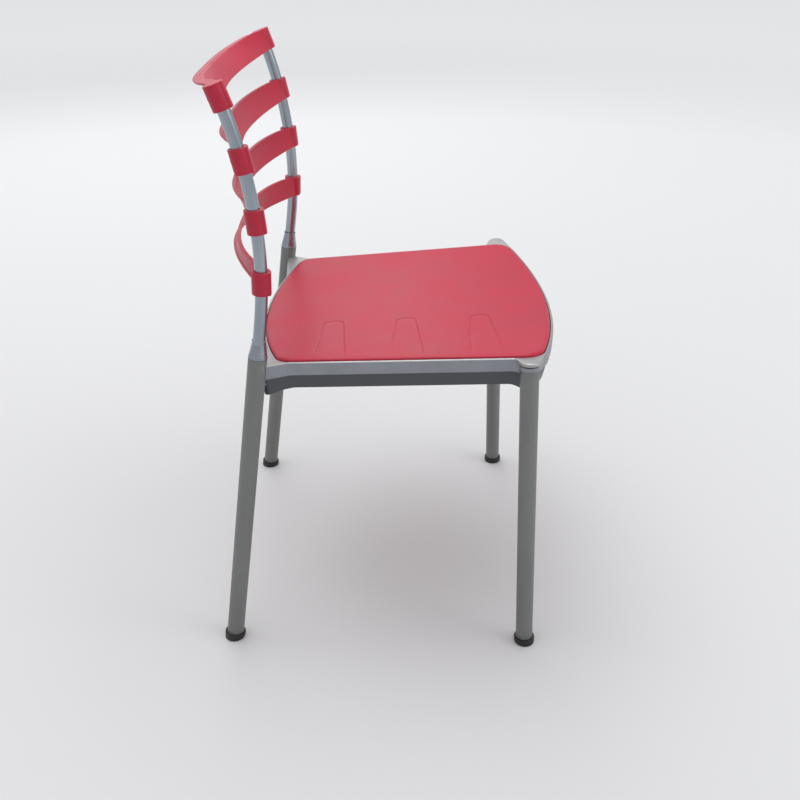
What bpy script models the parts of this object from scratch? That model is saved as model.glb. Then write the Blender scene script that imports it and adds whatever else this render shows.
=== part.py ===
"""A dining chair: a cast aluminium seat frame on four tube legs, a dished plastic seat panel let
into the frame, and a ladder back of four plastic slats threaded on two bent posts.

Metres, +Z up. The chair faces -Y and is symmetric about X = 0, and "right" is the sitter's
right, at -X. The origin is on the floor, under the middle of the chair's outer box.
"""
import math

import bmesh
import bpy
from mathutils import Vector

# Clearance between pieces that touch on the real chair
GAP = 0.0003

# Leg and post tubes
LEG_OD = 0.025
LEG_WALL = 0.002
POST_OD = 0.016
POST_WALL = 0.002

# How the legs lean, and where their axes pass the seat's outline at the height of its rim
SPLAY = math.radians(3.35)
REAR_LEAN = math.radians(8.0)
FRONT_LEAN = math.radians(2.8)
FRONT_LEG_OUT = 0.0132
FRONT_LEG_BACK = 0.05216
REAR_LEG_OUT = 0.02444
REAR_LEG_AHEAD = 0.00875
REAR_LEG_RISE = 0.0214

# The cone that steps from the leg to the post, with a socket above and a spigot below
FERRULE_LENGTH = 0.0255
FERRULE_TOP_OD = 0.0186
POST_SOCKET_DEPTH = 0.022

# Back posts: straight above the leg, then bent back on one radius
POST_STRAIGHT = 0.0515
BEND_RADIUS = 0.589

# Back slats, top slat first: places along the post from the start of the bend, and the
# backward bow at mid-span of the upper and lower edge
SLAT_PLACES = (0.2813, 0.2074, 0.1333, 0.0547)
SLAT_BOWS = ((0.050, 0.037), (0.053, 0.040), (0.055, 0.051), (0.058, 0.070))
UPPER_BOW_POWER = 3.0
LOWER_BOW_POWER = 1.85
SLAT_END_HEIGHT = 0.032
SLAT_MID_HEIGHT = 0.029
SLAT_WALL = 0.004
SLAT_EDGE = 0.0008
FLANGE_DEPTH = 0.0055
TOP_FLANGE_DEPTH = 0.0145
FLANGE_WALL = 0.0035
SLEEVE_WALL = 0.004
SLEEVE_CAP = 0.003

# Seat outline in plan: straight sides, arcs at front and rear, and rounded corners
SEAT_HALF_WIDTH = 0.1947
SEAT_TAPER = 0.068
SEAT_FRONT_Y = 0.2403
SEAT_FRONT_RADIUS = 0.61
SEAT_REAR_Y = 0.1770
SEAT_REAR_RADIUS = 0.49
SEAT_FRONT_CORNER = 0.028
SEAT_REAR_CORNER = 0.024
LEAST_CORNER = 0.001

# Seat surface: height of the rim line, its tilt down to the rear and its rise at the sides
SEAT_Z = 0.4408
SEAT_TILT = math.radians(2.748)
SEAT_DISH = 0.01184
PANEL_CROWN = 0.004
PANEL_ROLL = 0.007
PANEL_WALL = 0.004
PANEL_RIM_DEPTH = 0.006

# Cast frame: a lip round the panel, an upper band, a recessed lower band and an inner ledge
LIP_WIDTH = 0.0048
LIP_GAP = 0.0008
LIP_ROUND = 0.0035
UPPER_BAND = 0.019
FRAME_DEPTH = 0.040
BAND_RECESS = 0.0025
BAND_DRAFT = 0.003
BAND_WALL = 0.004
LEDGE_WIDTH = 0.026
LEDGE_WALL = 0.003

# Frame corners: a rounded cap over each front leg and an ear out to each rear leg
CAP_RADIUS = 0.0145
CAP_DEPTH = 0.0075
CAP_INNER_REACH = 0.031
CAP_RELEASE = math.radians(45)
CAP_NECK = 0.0235
NECK_BEND = 0.009
WEB_RADIUS = 0.010
EAR_FOLD = 0.039
EAR_REAR_REACH = 0.075
EAR_ROUND = 0.012
PAD_WIDTH = 0.026

# Seat screws, from below
SCREW_SHANK = 0.004
SCREW_LENGTH = 0.0085
SCREW_HEAD = 0.008
SCREW_HEAD_HEIGHT = 0.0025
SCREW_INSET = 0.012
BOSS_WALL = 0.003

# Leg bolts, from inside the frame
BOLT_SHANK = 0.006
BOLT_HEAD = 0.011
BOLT_HEAD_HEIGHT = 0.004
BOLT_DROP = 0.027
BOLT_PAST_AXIS = 0.005
FRONT_BOLT_SEAT = 0.022
REAR_BOLT_SEAT = 0.030
SPOT_FACE = 0.002
SPIGOT_PAST_BOLT = 0.0172

# Slat screws, from behind through the sleeve into the post
SLAT_SCREW_SHANK = 0.003
SLAT_SCREW_HEAD = 0.006
SLAT_SCREW_HEAD_HEIGHT = 0.0016
SLAT_SCREW_SINK = 0.0018

# Glides
GLIDE_OD = 0.0305
GLIDE_HEIGHT = 0.0102
GLIDE_EDGE = 0.002
GLIDE_STEM = 0.020

# Screw heads: shares of the head's radius at its top and of its height where the edge starts
HEAD_TOP = 0.7
HEAD_EDGE = 0.6

# Faceting
TUBE_SIDES = 24
STEM_SIDES = 12
SLAT_STEPS = 20
POST_STEP = 0.04
ARC_STEPS = 6
CORNER_STEPS = 12
SIDE_STEPS = 5
ROUND_STEPS = 2
ROUND_HANDLE = 0.55
FIELD_RINGS = (0.7, 0.4, 0.04)
UNDER_RINGS = (0.04, 0.5)
SMOOTH_ANGLE = math.radians(35)
MOSTLY_SIDEWAYS = 0.6

# Leg axes and heights that follow from the seat
FRONT_LEG_Y = FRONT_LEG_BACK - SEAT_FRONT_Y
FRONT_LEG_X = SEAT_HALF_WIDTH - SEAT_TAPER * FRONT_LEG_Y + FRONT_LEG_OUT
REAR_LEG_Y = SEAT_REAR_Y - REAR_LEG_AHEAD
REAR_LEG_X = SEAT_HALF_WIDTH - SEAT_TAPER * REAR_LEG_Y + REAR_LEG_OUT
REAR_LEG_TOP_Z = SEAT_Z + REAR_LEG_RISE
BEND_START_Z = REAR_LEG_TOP_Z + POST_STRAIGHT


def clear_scene():
    for obj in list(bpy.data.objects):
        bpy.data.objects.remove(obj, do_unlink=True)


def make_material(name, colour, roughness, metallic=0.0):
    """A Principled BSDF with a base colour (linear RGB), roughness and metallic value."""
    material = bpy.data.materials.new(name)
    material.use_nodes = True
    shader = material.node_tree.nodes["Principled BSDF"]
    shader.inputs["Base Color"].default_value = (*colour, 1.0)
    shader.inputs["Roughness"].default_value = roughness
    shader.inputs["Metallic"].default_value = metallic
    material.diffuse_color = (*colour, 1.0)
    return material


def smooth(obj):
    obj.data.shade_smooth()
    obj.data.set_sharp_from_angle(angle=SMOOTH_ANGLE)


def loft(name, rings, material=None, closed=False):
    """A solid through rings of equal point counts, capped at both ends unless it closes."""
    bm = bmesh.new()
    loops = [[bm.verts.new(point) for point in ring] for ring in rings]
    count = len(loops[0])
    pairs = list(zip(loops, loops[1:]))
    if closed:
        pairs.append((loops[-1], loops[0]))
    for lower, upper in pairs:
        for i in range(count):
            j = (i + 1) % count
            bm.faces.new((lower[i], lower[j], upper[j], upper[i]))
    if not closed:
        bm.faces.new(loops[0])
        bm.faces.new(loops[-1])
    bmesh.ops.remove_doubles(bm, verts=bm.verts, dist=1e-6)
    bmesh.ops.recalc_face_normals(bm, faces=bm.faces)
    mesh = bpy.data.meshes.new(name)
    bm.to_mesh(mesh)
    bm.free()
    obj = bpy.data.objects.new(name, mesh)
    bpy.context.scene.collection.objects.link(obj)
    obj.data.materials.append(material)
    smooth(obj)
    return obj


def circle(centre, axis, radius, sides):
    """Points on a circle square to the axis, starting from the side nearest +X."""
    axis = Vector(axis).normalized()
    start = Vector((1, 0, 0)) if abs(axis.x) < MOSTLY_SIDEWAYS else Vector((0, 0, 1))
    across = (start - axis * axis.dot(start)).normalized()
    up = axis.cross(across)
    points = []
    for i in range(sides):
        turn = 2 * math.pi * i / sides
        points.append(Vector(centre) + radius * (math.cos(turn) * across + math.sin(turn) * up))
    return points


def turned(name, start, axis, profile, sides, material=None):
    """A solid of circles at (distance along the axis, radius) pairs."""
    axis = Vector(axis).normalized()
    rings = [circle(Vector(start) + axis * along, axis, radius, sides) for along, radius in profile]
    return loft(name, rings, material)


def rod(start, end, radius, sides=STEM_SIDES):
    """A plain round bar, for joining to or cutting from another solid."""
    start = Vector(start)
    axis = Vector(end) - start
    return turned("rod", start, axis, ((0.0, radius), (axis.length, radius)), sides)


def boolean(obj, other, operation):
    """Applies a Boolean with the other object, which is then removed."""
    other.hide_render = True
    other.display_type = "WIRE"
    modifier = obj.modifiers.new(operation.lower(), "BOOLEAN")
    modifier.operation = operation
    modifier.solver = "EXACT"
    modifier.object = other
    graph = bpy.context.evaluated_depsgraph_get()
    mesh = bpy.data.meshes.new_from_object(obj.evaluated_get(graph))
    obj.modifiers.remove(modifier)
    mesh.name = obj.name
    obj.data = mesh
    bpy.data.objects.remove(other, do_unlink=True)
    smooth(obj)


def join(obj, other):
    boolean(obj, other, "UNION")


def cut(obj, other):
    boolean(obj, other, "DIFFERENCE")


def place(obj, origin, chair):
    """Moves an object's origin to a point on it, and parents it to the chair."""
    for vertex in obj.data.vertices:
        vertex.co -= Vector(origin)
    obj.location = origin
    obj.parent = chair
    return obj


# Leg and post axes. A side is -1 for the sitter's right (-X) and 1 for the left.


def rear_axis(side, z):
    """Point of a rear leg's axis at a height."""
    below = SEAT_Z - z
    across = REAR_LEG_X + below * math.tan(SPLAY)
    return Vector((side * across, REAR_LEG_Y + below * math.tan(REAR_LEAN), z))


def front_axis(side, z):
    """Point of a front leg's axis at a height."""
    below = SEAT_Z - z
    across = FRONT_LEG_X + below * math.tan(SPLAY)
    return Vector((side * across, FRONT_LEG_Y - below * math.tan(FRONT_LEAN), z))


def post_frame(side, s):
    """(point, along, back) of a post: straight below the bend (s < 0), an arc above it.

    along points up the post and back points out behind it, square to it.
    """
    x = rear_axis(side, REAR_LEG_TOP_Z).x
    start_y = rear_axis(side, BEND_START_Z).y
    turn = max(s, 0.0) / BEND_RADIUS - REAR_LEAN
    along = Vector((0, math.sin(turn), math.cos(turn)))
    back = Vector((0, math.cos(turn), -math.sin(turn)))
    if s <= 0:
        return Vector((x, start_y, BEND_START_Z)) + s * along, along, back
    centre_y = start_y + BEND_RADIUS * math.cos(REAR_LEAN)
    centre_z = BEND_START_Z + BEND_RADIUS * math.sin(REAR_LEAN)
    return Vector((x, centre_y, centre_z)) - BEND_RADIUS * back, along, back


def post_rings(side, low, high, radius):
    """Circles round a post between two places on it, closer together on the bend."""
    places = [low]
    if low < 0 < high:
        places.append(0.0)
    bend = max(low, 0.0)
    steps = max(1, math.ceil((high - bend) / POST_STEP))
    places += [bend + (high - bend) * i / steps for i in range(1, steps + 1)]
    rings = []
    for s in places:
        point, along, _ = post_frame(side, s)
        rings.append(circle(point, along, radius, TUBE_SIDES))
    return rings


FERRULE_FOOT_S = (REAR_LEG_TOP_Z + GAP - BEND_START_Z) / math.cos(REAR_LEAN)
FERRULE_TOP_S = FERRULE_FOOT_S + FERRULE_LENGTH
POST_FOOT_S = FERRULE_TOP_S - POST_SOCKET_DEPTH + GAP
POST_TOP_S = SLAT_PLACES[0] + SLAT_END_HEIGHT / 2 - SLEEVE_CAP - GAP
SLEEVE_RADIUS = POST_OD / 2 + GAP + SLEEVE_WALL

# Seat plan and surface


def seat_height(x, y):
    """Height of the rim line, sloping down to the rear and dished across."""
    return SEAT_Z - math.tan(SEAT_TILT) * y + SEAT_DISH * (x / SEAT_HALF_WIDTH) ** 2


def seat_normal(x, y):
    across = -2 * SEAT_DISH * x / SEAT_HALF_WIDTH**2
    return Vector((across, math.tan(SEAT_TILT), 1.0)).normalized()


def arc(centre, start, end, steps):
    """Points from start to end, the short way round a centre."""
    first = math.atan2(start[1] - centre[1], start[0] - centre[0])
    last = math.atan2(end[1] - centre[1], end[0] - centre[0])
    turn = (last - first + math.pi) % (2 * math.pi) - math.pi
    radius = math.dist(centre, start)
    points = []
    for i in range(steps + 1):
        angle = first + turn * i / steps
        points.append((centre[0] + radius * math.cos(angle), centre[1] + radius * math.sin(angle)))
    return points


def line(start, end, steps):
    points = []
    for i in range(steps + 1):
        t = i / steps
        points.append((start[0] + (end[0] - start[0]) * t, start[1] + (end[1] - start[1]) * t))
    return points


def bezier(a, b, c, d, steps):
    """Points of a cubic curve from a to d with handles b and c."""
    points = []
    for i in range(steps + 1):
        t = i / steps
        weights = ((1 - t) ** 3, 3 * t * (1 - t) ** 2, 3 * t * t * (1 - t), t**3)
        x = sum(w * p[0] for w, p in zip(weights, (a, b, c, d)))
        y = sum(w * p[1] for w, p in zip(weights, (a, b, c, d)))
        points.append((x, y))
    return points


def spread(points, steps):
    """The same path with its points spaced evenly along it."""
    lengths = [0.0]
    for a, b in zip(points, points[1:]):
        lengths.append(lengths[-1] + math.dist(a, b))
    spaced = []
    k = 0
    for i in range(steps + 1):
        goal = lengths[-1] * i / steps
        while k < len(points) - 2 and lengths[k + 1] < goal:
            k += 1
        t = (goal - lengths[k]) / (lengths[k + 1] - lengths[k])
        a, b = points[k], points[k + 1]
        spaced.append((a[0] + (b[0] - a[0]) * t, a[1] + (b[1] - a[1]) * t))
    return spaced


def closed_plan(sections):
    """Joins the +X half's sections, front middle to rear middle, and adds the mirrored half."""
    half = [sections[0][0]]
    for section in sections:
        half += section[1:]
    return half + [(-x, y) for x, y in reversed(half[1:-1])]


def side_x(y, grow):
    """The +X side line of the seat outline, grown outwards."""
    return SEAT_HALF_WIDTH - SEAT_TAPER * y + grow * math.hypot(1.0, SEAT_TAPER)


def end_arc(grow, end):
    """(centre Y, radius) of the outline's arc at the front (-1) or the rear (1)."""
    if end < 0:
        radius = SEAT_FRONT_RADIUS + grow
        return radius - SEAT_FRONT_Y - grow, radius
    radius = SEAT_REAR_RADIUS + grow
    return SEAT_REAR_Y + grow - radius, radius


def end_point(x, grow, end):
    """Point of the front or rear arc at an X."""
    centre_y, radius = end_arc(grow, end)
    return (x, centre_y + end * math.sqrt(radius**2 - x * x))


def fillet(grow, end):
    """Centre and two touching points (side line, end arc) of a rounded corner at +X.

    The centre lies one fillet radius inside the side line and inside the end arc.
    """
    corner = max((SEAT_FRONT_CORNER if end < 0 else SEAT_REAR_CORNER) + grow, LEAST_CORNER)
    centre_y, radius = end_arc(grow, end)
    length = math.hypot(1.0, SEAT_TAPER)
    inward = (-1.0 / length, -SEAT_TAPER / length)
    along = (-SEAT_TAPER / length, 1.0 / length)
    base_x = side_x(0.0, grow) + corner * inward[0]
    base_y = corner * inward[1]
    b = base_x * along[0] + (base_y - centre_y) * along[1]
    c = base_x**2 + (base_y - centre_y) ** 2 - (radius - corner) ** 2
    t = -b + end * math.sqrt(b * b - c)
    centre = (base_x + along[0] * t, base_y + along[1] * t)
    on_side = (centre[0] - inward[0] * corner, centre[1] - inward[1] * corner)
    scale = radius / (radius - corner)
    on_arc = (centre[0] * scale, centre_y + (centre[1] - centre_y) * scale)
    return centre, on_side, on_arc


def seat_outline(grow):
    """Closed plan outline of the seat panel, grown outwards all round by a distance."""
    front, front_side, front_arc = fillet(grow, -1)
    rear, rear_side, rear_arc = fillet(grow, 1)
    front_y, _ = end_arc(grow, -1)
    rear_y, _ = end_arc(grow, 1)
    return closed_plan(
        (
            arc((0.0, front_y), end_point(0.0, grow, -1), front_arc, ARC_STEPS),
            arc(front, front_arc, front_side, CORNER_STEPS),
            line(front_side, rear_side, SIDE_STEPS),
            arc(rear, rear_side, rear_arc, CORNER_STEPS),
            arc((0.0, rear_y), rear_arc, end_point(0.0, grow, 1), ARC_STEPS),
        )
    )


def frame_outline(cap_radius, drawn_in):
    """Closed plan outline of the frame, drawn inwards by a distance all round.

    Front arc, tangent to a round at the front leg; an S-curve to the side line; a fold out to the
    rear leg's axis, rounded there; and a straight run back to the rear arc. The round has the
    given radius before it is drawn in. The rear leg itself is cut away afterwards.
    """
    grow = LIP_WIDTH - drawn_in
    radius = cap_radius - drawn_in
    front = front_axis(1, SEAT_Z).to_2d()
    rear = rear_axis(1, SEAT_Z).to_2d() - Vector((drawn_in, drawn_in))
    joint = end_point(front.x - CAP_INNER_REACH, grow, -1)
    front_y, _ = end_arc(grow, -1)
    rear_y, _ = end_arc(grow, 1)
    lead = math.atan2(joint[1] - front_y, joint[0])
    release = Vector((math.cos(CAP_RELEASE), math.sin(CAP_RELEASE)))
    leave = front + radius * release
    touch = (front.x + radius * math.cos(lead), front.y + radius * math.sin(lead))
    neck_y = front.y + CAP_NECK
    neck = (side_x(neck_y, grow), neck_y)
    out = (leave.x - NECK_BEND * release.y, leave.y + NECK_BEND * release.x)
    corner = [joint] + arc(front, touch, leave, CORNER_STEPS)
    corner += bezier(leave, out, (neck[0], neck[1] - NECK_BEND), neck, CORNER_STEPS)[1:]
    fold_y = rear.y - EAR_FOLD
    fold = Vector((side_x(fold_y, grow), fold_y))
    back = Vector(end_point(rear.x - EAR_REAR_REACH, grow, 1))
    ahead = rear + EAR_ROUND * (fold - rear).normalized()
    beside = rear + EAR_ROUND * (back - rear).normalized()
    handles = (ahead.lerp(rear, ROUND_HANDLE), beside.lerp(rear, ROUND_HANDLE))
    ear = [fold] + bezier(ahead, *handles, beside, CORNER_STEPS) + [back]
    return closed_plan(
        (
            arc((0.0, front_y), end_point(0.0, grow, -1), joint, ARC_STEPS),
            spread(corner, CORNER_STEPS),
            line(neck, fold, SIDE_STEPS),
            spread(ear, CORNER_STEPS),
            arc((0.0, rear_y), back, end_point(0.0, grow, 1), ARC_STEPS),
        )
    )


SEAT_MIDDLE_Y = (SEAT_REAR_Y - SEAT_FRONT_Y) / 2


def abreast(plan, guide):
    """Points of a plan on rays from the seat's middle through the frame outline's points.

    Across the frame's corners the rays are evened out, because its path turns back on itself.
    """
    turns = [math.atan2(y - SEAT_MIDDLE_Y, x) for x, y in guide[: len(guide) // 2 + 1]]
    for first in (ARC_STEPS, ARC_STEPS + CORNER_STEPS + SIDE_STEPS):
        last = first + CORNER_STEPS
        step = (turns[last] - turns[first]) / CORNER_STEPS
        for i in range(first + 1, last):
            turns[i] = turns[first] + step * (i - first)
    half = []
    for turn in turns:
        ray = (math.cos(turn), math.sin(turn))
        for start, end in zip(plan, plan[1:] + plan[:1]):
            before = ray[0] * (start[1] - SEAT_MIDDLE_Y) - ray[1] * start[0]
            after = ray[0] * (end[1] - SEAT_MIDDLE_Y) - ray[1] * end[0]
            if before <= 0 < after:
                t = before / (before - after)
                x = start[0] + (end[0] - start[0]) * t
                half.append((x, start[1] + (end[1] - start[1]) * t))
                break
    return half + [(-x, y) for x, y in reversed(half[1:-1])]


def on_seat(plan, drop):
    """Lifts a plan to the seat's rim line plus an offset."""
    return [Vector((x, y, seat_height(x, y) + drop)) for x, y in plan]


def shrunk(plan, factor):
    """A plan drawn in towards the middle of the seat."""
    return [(x * factor, SEAT_MIDDLE_Y + (y - SEAT_MIDDLE_Y) * factor) for x, y in plan]


def screw_places():
    """Names and plan points of the seat screws, all the same distance in from the rim."""
    front_x = SEAT_HALF_WIDTH / 2
    places = {}
    for name, side in (("right", -1), ("left", 1)):
        front = end_point(front_x, -SCREW_INSET, -1)
        rear = end_point(front_x, -SCREW_INSET, 1)
        places["front_" + name] = (side * front[0], front[1])
        places["middle_" + name] = (side * side_x(0.0, -SCREW_INSET), 0.0)
        places["rear_" + name] = (side * rear[0], rear[1])
    return places


def seat_point(x, y, drop):
    """A point at a distance off the rim line's surface, square to it."""
    return Vector((x, y, seat_height(x, y))) + seat_normal(x, y) * drop


def make_seat_panel(material):
    """Dished moulded panel, its rim rolled over and turned down inside the frame's lip."""
    under = PANEL_CROWN - PANEL_WALL
    inner = seat_outline(-PANEL_WALL)
    rings = [on_seat(shrunk(inner, factor), under) for factor in UNDER_RINGS]
    rings.append(on_seat(inner, under))
    rings.append(on_seat(inner, -PANEL_RIM_DEPTH))
    for i in range(ROUND_STEPS + 1):
        turn = math.pi / 2 * i / ROUND_STEPS
        rim = seat_outline(-PANEL_ROLL * (1 - math.cos(turn)))
        if i == 0:
            rings.append(on_seat(rim, -PANEL_RIM_DEPTH))
        rings.append(on_seat(rim, PANEL_CROWN * math.sin(turn)))
    field = seat_outline(-PANEL_ROLL)
    rings += [on_seat(shrunk(field, factor), PANEL_CROWN) for factor in FIELD_RINGS]
    panel = loft("seat_panel", rings, material)
    hole = SCREW_SHANK / 2 + GAP
    for x, y in screw_places().values():
        foot = seat_point(x, y, -PANEL_RIM_DEPTH)
        top = seat_point(x, y, PANEL_CROWN - PANEL_WALL / 2)
        join(panel, rod(foot, top, hole + BOSS_WALL))
        below = seat_point(x, y, -2 * PANEL_RIM_DEPTH)
        end = seat_point(x, y, SCREW_LENGTH - PANEL_RIM_DEPTH - LEDGE_WALL)
        cut(panel, rod(below, end, hole))
    return panel


LEDGE_TOP = -PANEL_RIM_DEPTH - GAP
LEDGE_UNDER = LEDGE_TOP - LEDGE_WALL


def make_frame_ring(material):
    """The cast ring: lip, ledge under the panel's rim, upper band and recessed lower band.

    The lower band draws in by the draft towards its lower edge.
    """
    cap = frame_outline(CAP_RADIUS, 0.0)
    web = frame_outline(WEB_RADIUS, 0.0)
    recessed = frame_outline(WEB_RADIUS, BAND_RECESS)
    recessed_foot = frame_outline(WEB_RADIUS, BAND_RECESS + BAND_DRAFT)
    wall = LIP_WIDTH - BAND_RECESS - BAND_WALL
    lip = abreast(seat_outline(LIP_GAP), cap)
    ledge = abreast(seat_outline(LIP_WIDTH - LEDGE_WIDTH), cap)
    rings = [on_seat(cap, -CAP_DEPTH)]
    for i in range(ROUND_STEPS + 1):
        turn = math.pi / 2 * i / ROUND_STEPS
        rounded = frame_outline(CAP_RADIUS, LIP_ROUND * (1 - math.cos(turn)))
        rings.append(on_seat(rounded, -LIP_ROUND * (1 - math.sin(turn))))
    rings.append(on_seat(lip, 0.0))
    rings.append(on_seat(lip, LEDGE_TOP))
    rings.append(on_seat(ledge, LEDGE_TOP))
    rings.append(on_seat(ledge, LEDGE_UNDER))
    rings.append(on_seat(abreast(seat_outline(wall), web), LEDGE_UNDER))
    rings.append(on_seat(abreast(seat_outline(wall - BAND_DRAFT), web), -FRAME_DEPTH))
    rings.append(on_seat(recessed_foot, -FRAME_DEPTH))
    rings.append(on_seat(recessed, -UPPER_BAND))
    rings.append(on_seat(web, -UPPER_BAND))
    rings.append(on_seat(web, -CAP_DEPTH))
    return loft("seat_frame", rings, material, closed=True)


def front_pad(side):
    """Flat-faced thickening inside a front corner, which the bolt's head seats on."""
    leg = front_axis(side, SEAT_Z)
    near = leg.x - side * (FRONT_BOLT_SEAT + SPOT_FACE)
    wall = side_x(leg.y, LIP_WIDTH) - BAND_RECESS - BAND_WALL / 2
    front = leg.y - PAD_WIDTH / 2
    rear = leg.y + PAD_WIDTH / 2
    rings = []
    for drop, reach in ((-FRAME_DEPTH, wall - BAND_DRAFT), (LEDGE_UNDER + LEDGE_WALL / 2, wall)):
        far = side * reach
        rings.append(on_seat([(near, front), (far, front), (far, rear), (near, rear)], drop))
    return loft("pad", rings)


def bolt_line(end, side):
    """(point on the leg's axis, direction outwards) of a leg bolt.

    A front bolt runs straight outwards, and a rear bolt diagonally.
    """
    axis = front_axis if end < 0 else rear_axis
    leg = axis(side, SEAT_Z)
    centre = axis(side, seat_height(leg.x, leg.y) - BOLT_DROP)
    outwards = Vector((side, 0, 0)) if end < 0 else Vector((side, 1, 0)).normalized()
    return centre, outwards


def bolt_seat(end):
    return FRONT_BOLT_SEAT if end < 0 else REAR_BOLT_SEAT


def bolt_hole(end, side, start, finish):
    """A rod along a leg bolt's line between two distances from the leg's axis."""
    centre, outwards = bolt_line(end, side)
    return rod(centre + outwards * start, centre + outwards * finish, BOLT_SHANK / 2 + GAP)


def front_cap_under(side):
    """Height of the underside of a front corner's cap, at its lowest over the leg."""
    leg = front_axis(side, SEAT_Z)
    inner_x = abs(leg.x) - LEG_OD / 2
    return seat_height(inner_x, leg.y + LEG_OD / 2) - CAP_DEPTH


def make_seat_frame(material):
    """Cast frame, cleared round the legs, with a spigot for each front leg and bolt holes."""
    frame = make_frame_ring(material)
    clear = LEG_OD / 2 + GAP
    for side in (-1, 1):
        join(frame, front_pad(side))
        under = front_cap_under(side)
        foot = front_axis(side, under - FRAME_DEPTH)
        cut(frame, rod(foot, front_axis(side, under), clear, TUBE_SIDES))
        spigot = LEG_OD / 2 - LEG_WALL - GAP
        bolt, _ = bolt_line(-1, side)
        low = front_axis(side, bolt.z - SPIGOT_PAST_BOLT)
        join(frame, rod(low, front_axis(side, under + CAP_DEPTH / 2), spigot, TUBE_SIDES))
        low = rear_axis(side, SEAT_Z - 2 * FRAME_DEPTH)
        high = rear_axis(side, SEAT_Z + 2 * FRAME_DEPTH)
        cut(frame, rod(low, high, clear, TUBE_SIDES))
        for end in (-1, 1):
            seat = bolt_seat(end)
            cut(frame, bolt_hole(end, side, -seat - BOLT_HEAD, BOLT_PAST_AXIS + GAP))
            centre, outwards = bolt_line(end, side)
            face = centre - outwards * seat
            cut(frame, rod(face - outwards * BOLT_HEAD * 2, face, BOLT_HEAD / 2 + GAP))
    for x, y in screw_places().values():
        low = seat_point(x, y, LEDGE_UNDER - LEDGE_WALL)
        high = seat_point(x, y, LEDGE_TOP + LEDGE_WALL)
        cut(frame, rod(low, high, SCREW_SHANK / 2 + GAP))
    return frame


def make_tube(name, start, end, outer, wall, material):
    """An open round tube, its ends square to its axis."""
    start, end = Vector(start), Vector(end)
    axis = end - start
    rings = []
    for centre, radius in (
        (start, outer),
        (end, outer),
        (end, outer - wall),
        (start, outer - wall),
    ):
        rings.append(circle(centre, axis, radius, TUBE_SIDES))
    return loft(name, rings, material, closed=True)


def glide_top(axis, side):
    """Point on a leg's axis where the tube stands on its glide."""
    return axis(side, GLIDE_HEIGHT)


def make_leg(name, end, side, material):
    """A leg tube from its glide up to the frame's cap or the cone, drilled for its bolt."""
    axis = front_axis if end < 0 else rear_axis
    low = glide_top(axis, side)
    if end < 0:
        up = (front_axis(side, 1.0) - front_axis(side, 0.0)).normalized()
        high = front_axis(side, front_cap_under(side)) - up * GAP
    else:
        high = rear_axis(side, REAR_LEG_TOP_Z)
    leg = make_tube(name, low, high, LEG_OD / 2, LEG_WALL, material)
    cut(leg, bolt_hole(end, side, -LEG_OD, 0.0))
    return leg


def make_glide(name, axis, side, material):
    """A foot that stands flat on the floor, with its top square to the leg and a stem in it."""
    up = (axis(side, 1.0) - axis(side, 0.0)).normalized()
    radius = GLIDE_OD / 2
    stem = LEG_OD / 2 - LEG_WALL - GAP
    top = glide_top(axis, side) - up * GAP
    flat = Vector((0, 0, 1))
    rings = [
        circle(axis(side, 0.0), flat, radius - GLIDE_EDGE, TUBE_SIDES),
        circle(axis(side, GLIDE_EDGE), flat, radius, TUBE_SIDES),
        circle(top - up * GLIDE_EDGE, up, radius, TUBE_SIDES),
        circle(top, up, radius - GLIDE_EDGE, TUBE_SIDES),
        circle(top, up, stem, TUBE_SIDES),
        circle(top + up * GLIDE_STEM, up, stem, TUBE_SIDES),
    ]
    return loft(name, rings, material)


def make_ferrule(name, side, material):
    """The cone between leg and post, with a spigot down the leg and a blind socket above."""
    up = (rear_axis(side, 1.0) - rear_axis(side, 0.0)).normalized()
    base = rear_axis(side, REAR_LEG_TOP_Z) + up * GAP
    spigot = LEG_OD / 2 - LEG_WALL - GAP
    bolt, _ = bolt_line(1, side)
    rings = [
        circle(bolt - up * SPIGOT_PAST_BOLT, up, spigot, TUBE_SIDES),
        circle(base, up, spigot, TUBE_SIDES),
        circle(base, up, LEG_OD / 2, TUBE_SIDES),
    ]
    top, along, _ = post_frame(side, FERRULE_TOP_S)
    floor, _, _ = post_frame(side, FERRULE_TOP_S - POST_SOCKET_DEPTH)
    socket = POST_OD / 2 + GAP
    rings.append(circle(top, along, FERRULE_TOP_OD / 2, TUBE_SIDES))
    rings.append(circle(top, along, socket, TUBE_SIDES))
    rings.append(circle(floor, along, socket, TUBE_SIDES))
    ferrule = loft(name, rings, material)
    cut(ferrule, bolt_hole(1, side, -LEG_OD, BOLT_PAST_AXIS + GAP))
    return ferrule


def slat_screw_hole(side, s):
    """A rod on a slat screw's line, from the post's axis out behind the sleeve."""
    point, _, back = post_frame(side, s)
    return rod(point, point + back * SLEEVE_RADIUS * 2, SLAT_SCREW_SHANK / 2 + GAP)


def make_post(name, side, material):
    """A bent tube, drilled behind for one screw at each slat."""
    outer = post_rings(side, POST_FOOT_S, POST_TOP_S, POST_OD / 2)
    inner = post_rings(side, POST_FOOT_S, POST_TOP_S, POST_OD / 2 - POST_WALL)
    post = loft(name, outer + inner[::-1], material, closed=True)
    for s in SLAT_PLACES:
        cut(post, slat_screw_hole(side, s))
    return post


def slat_bow(x, height, bows):
    """How far back the slat lies at an X and a height from -1 (lower edge) to 1 (upper edge).

    Each edge follows bow * (1 - |x / post X| ** power), and the face blends between the edges.
    """
    reach = min(abs(x) / rear_axis(1, REAR_LEG_TOP_Z).x, 1.0)
    upper = bows[0] * (1 - reach**UPPER_BOW_POWER)
    lower = bows[1] * (1 - reach**LOWER_BOW_POWER)
    return lower + (upper - lower) * (height + 1) / 2


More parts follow.
